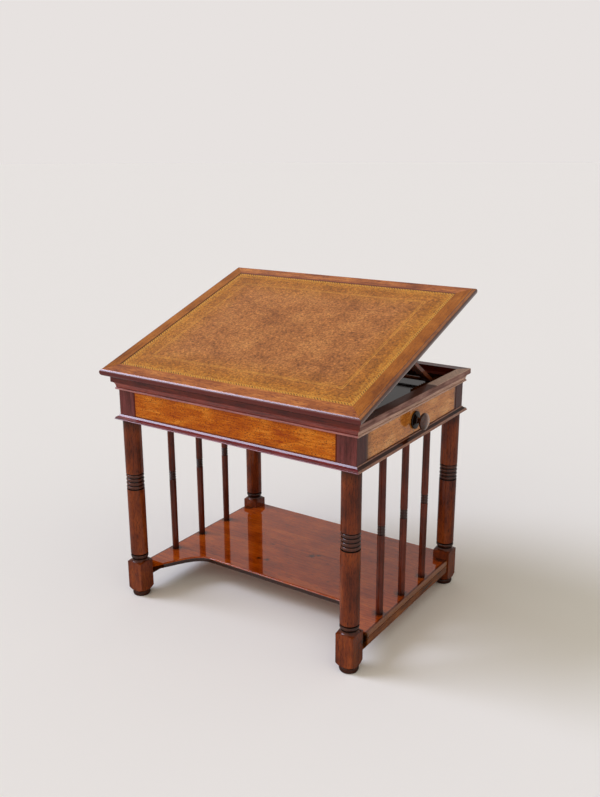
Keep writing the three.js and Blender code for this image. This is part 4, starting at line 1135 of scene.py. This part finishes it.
# %% World
world = bpy.data.worlds.new("pale_room")
bpy.context.scene.world = world
world.use_nodes = True
tree = world.node_tree
tree.nodes.clear()
rays = add(tree, "LightPath")
seen = add(tree, "Math", {0: rays.outputs["Is Camera Ray"], 1: rays.outputs["Is Glossy Ray"]},
           operation="MAXIMUM")
seen = add(tree, "Math", {0: seen.outputs[0], 1: rays.outputs["Is Transmission Ray"]}, operation="MAXIMUM")
lit = add(tree, "Background", {"Color": colour("#f6f3f0"), "Strength": 0.4})
shown = add(tree, "Background", {"Color": colour("#e7e2e0"), "Strength": 1.0})
mixed = add(tree, "MixShader", {0: seen.outputs[0], 1: lit.outputs[0], 2: shown.outputs[0]})
add(tree, "OutputWorld", {"Surface": mixed.outputs[0]})
print("world:", world.name)

# %% [markdown]
# ## Lamps
# The light is soft, as in a room with a large window: a cool glow from the upper left, a weaker one from the
# front and a warm one from the right. Broad suns light the whole floor alike, so it keeps one tone up to the
# horizon, where the world has the same colour.

# %% Lamps
def soft_sun(name, toward, strength, spread, tint):
    """A broad, even glow from one direction. The direction points from the table to the light."""
    lamp = bpy.data.lights.new(name, "SUN")
    lamp.energy = strength
    lamp.angle = math.radians(spread)
    lamp.color = colour(tint)[:3]
    holder = bpy.data.objects.new(name, lamp)
    holder.rotation_euler = Vector(toward).to_track_quat("Z", "Y").to_euler()
    bpy.context.scene.collection.objects.link(holder)
    print("lamp:", name, "strength", strength, "spread", spread, "degrees")


soft_sun("window_left", (-0.66, -0.32, 0.68), 1.75, 28, "#d6deff")
soft_sun("room_front", (-0.45, -0.75, 0.48), 1.0, 80, "#fffaf4")
soft_sun("room_right", (0.78, -0.3, 0.55), 0.5, 80, "#fff0dc")

# %% [markdown]
# ## Camera
# The camera stands where the photograph was taken from. The place, the three angles and the lens were worked
# out from the table's own right angles. The view transform is Standard, so a colour in the render is the
# colour that the material was given.

# %% Camera at the photograph's viewing angle
LENS_MM, SENSOR_MM = 39.19, 36
YAW, PITCH, ROLL = (math.radians(degrees) for degrees in (33.85, 16.14, -0.16))
camera = bpy.data.cameras.new("camera")
camera.lens = LENS_MM
camera.sensor_width = SENSOR_MM
view = Vector((-math.sin(YAW) * math.cos(PITCH), math.cos(YAW) * math.cos(PITCH), -math.sin(PITCH)))
level_right = Vector((math.cos(YAW), math.sin(YAW), 0))
level_up = level_right.cross(view)
right = math.cos(ROLL) * level_right + math.sin(ROLL) * level_up
up = math.cos(ROLL) * level_up - math.sin(ROLL) * level_right
stand = case_middle + Vector((1.0366, -1.5198, 0.9926))
holder = bpy.data.objects.new("camera", camera)
holder.matrix_world = Matrix((
    (right.x, up.x, -view.x, stand.x), (right.y, up.y, -view.y, stand.y), (right.z, up.z, -view.z, stand.z),
    (0, 0, 0, 1)))
bpy.context.scene.collection.objects.link(holder)
bpy.context.scene.camera = holder
bpy.context.scene.view_settings.view_transform = "Standard"
print("camera stands", round((stand - case_middle).length, 2), "m from the foot of the table's middle")
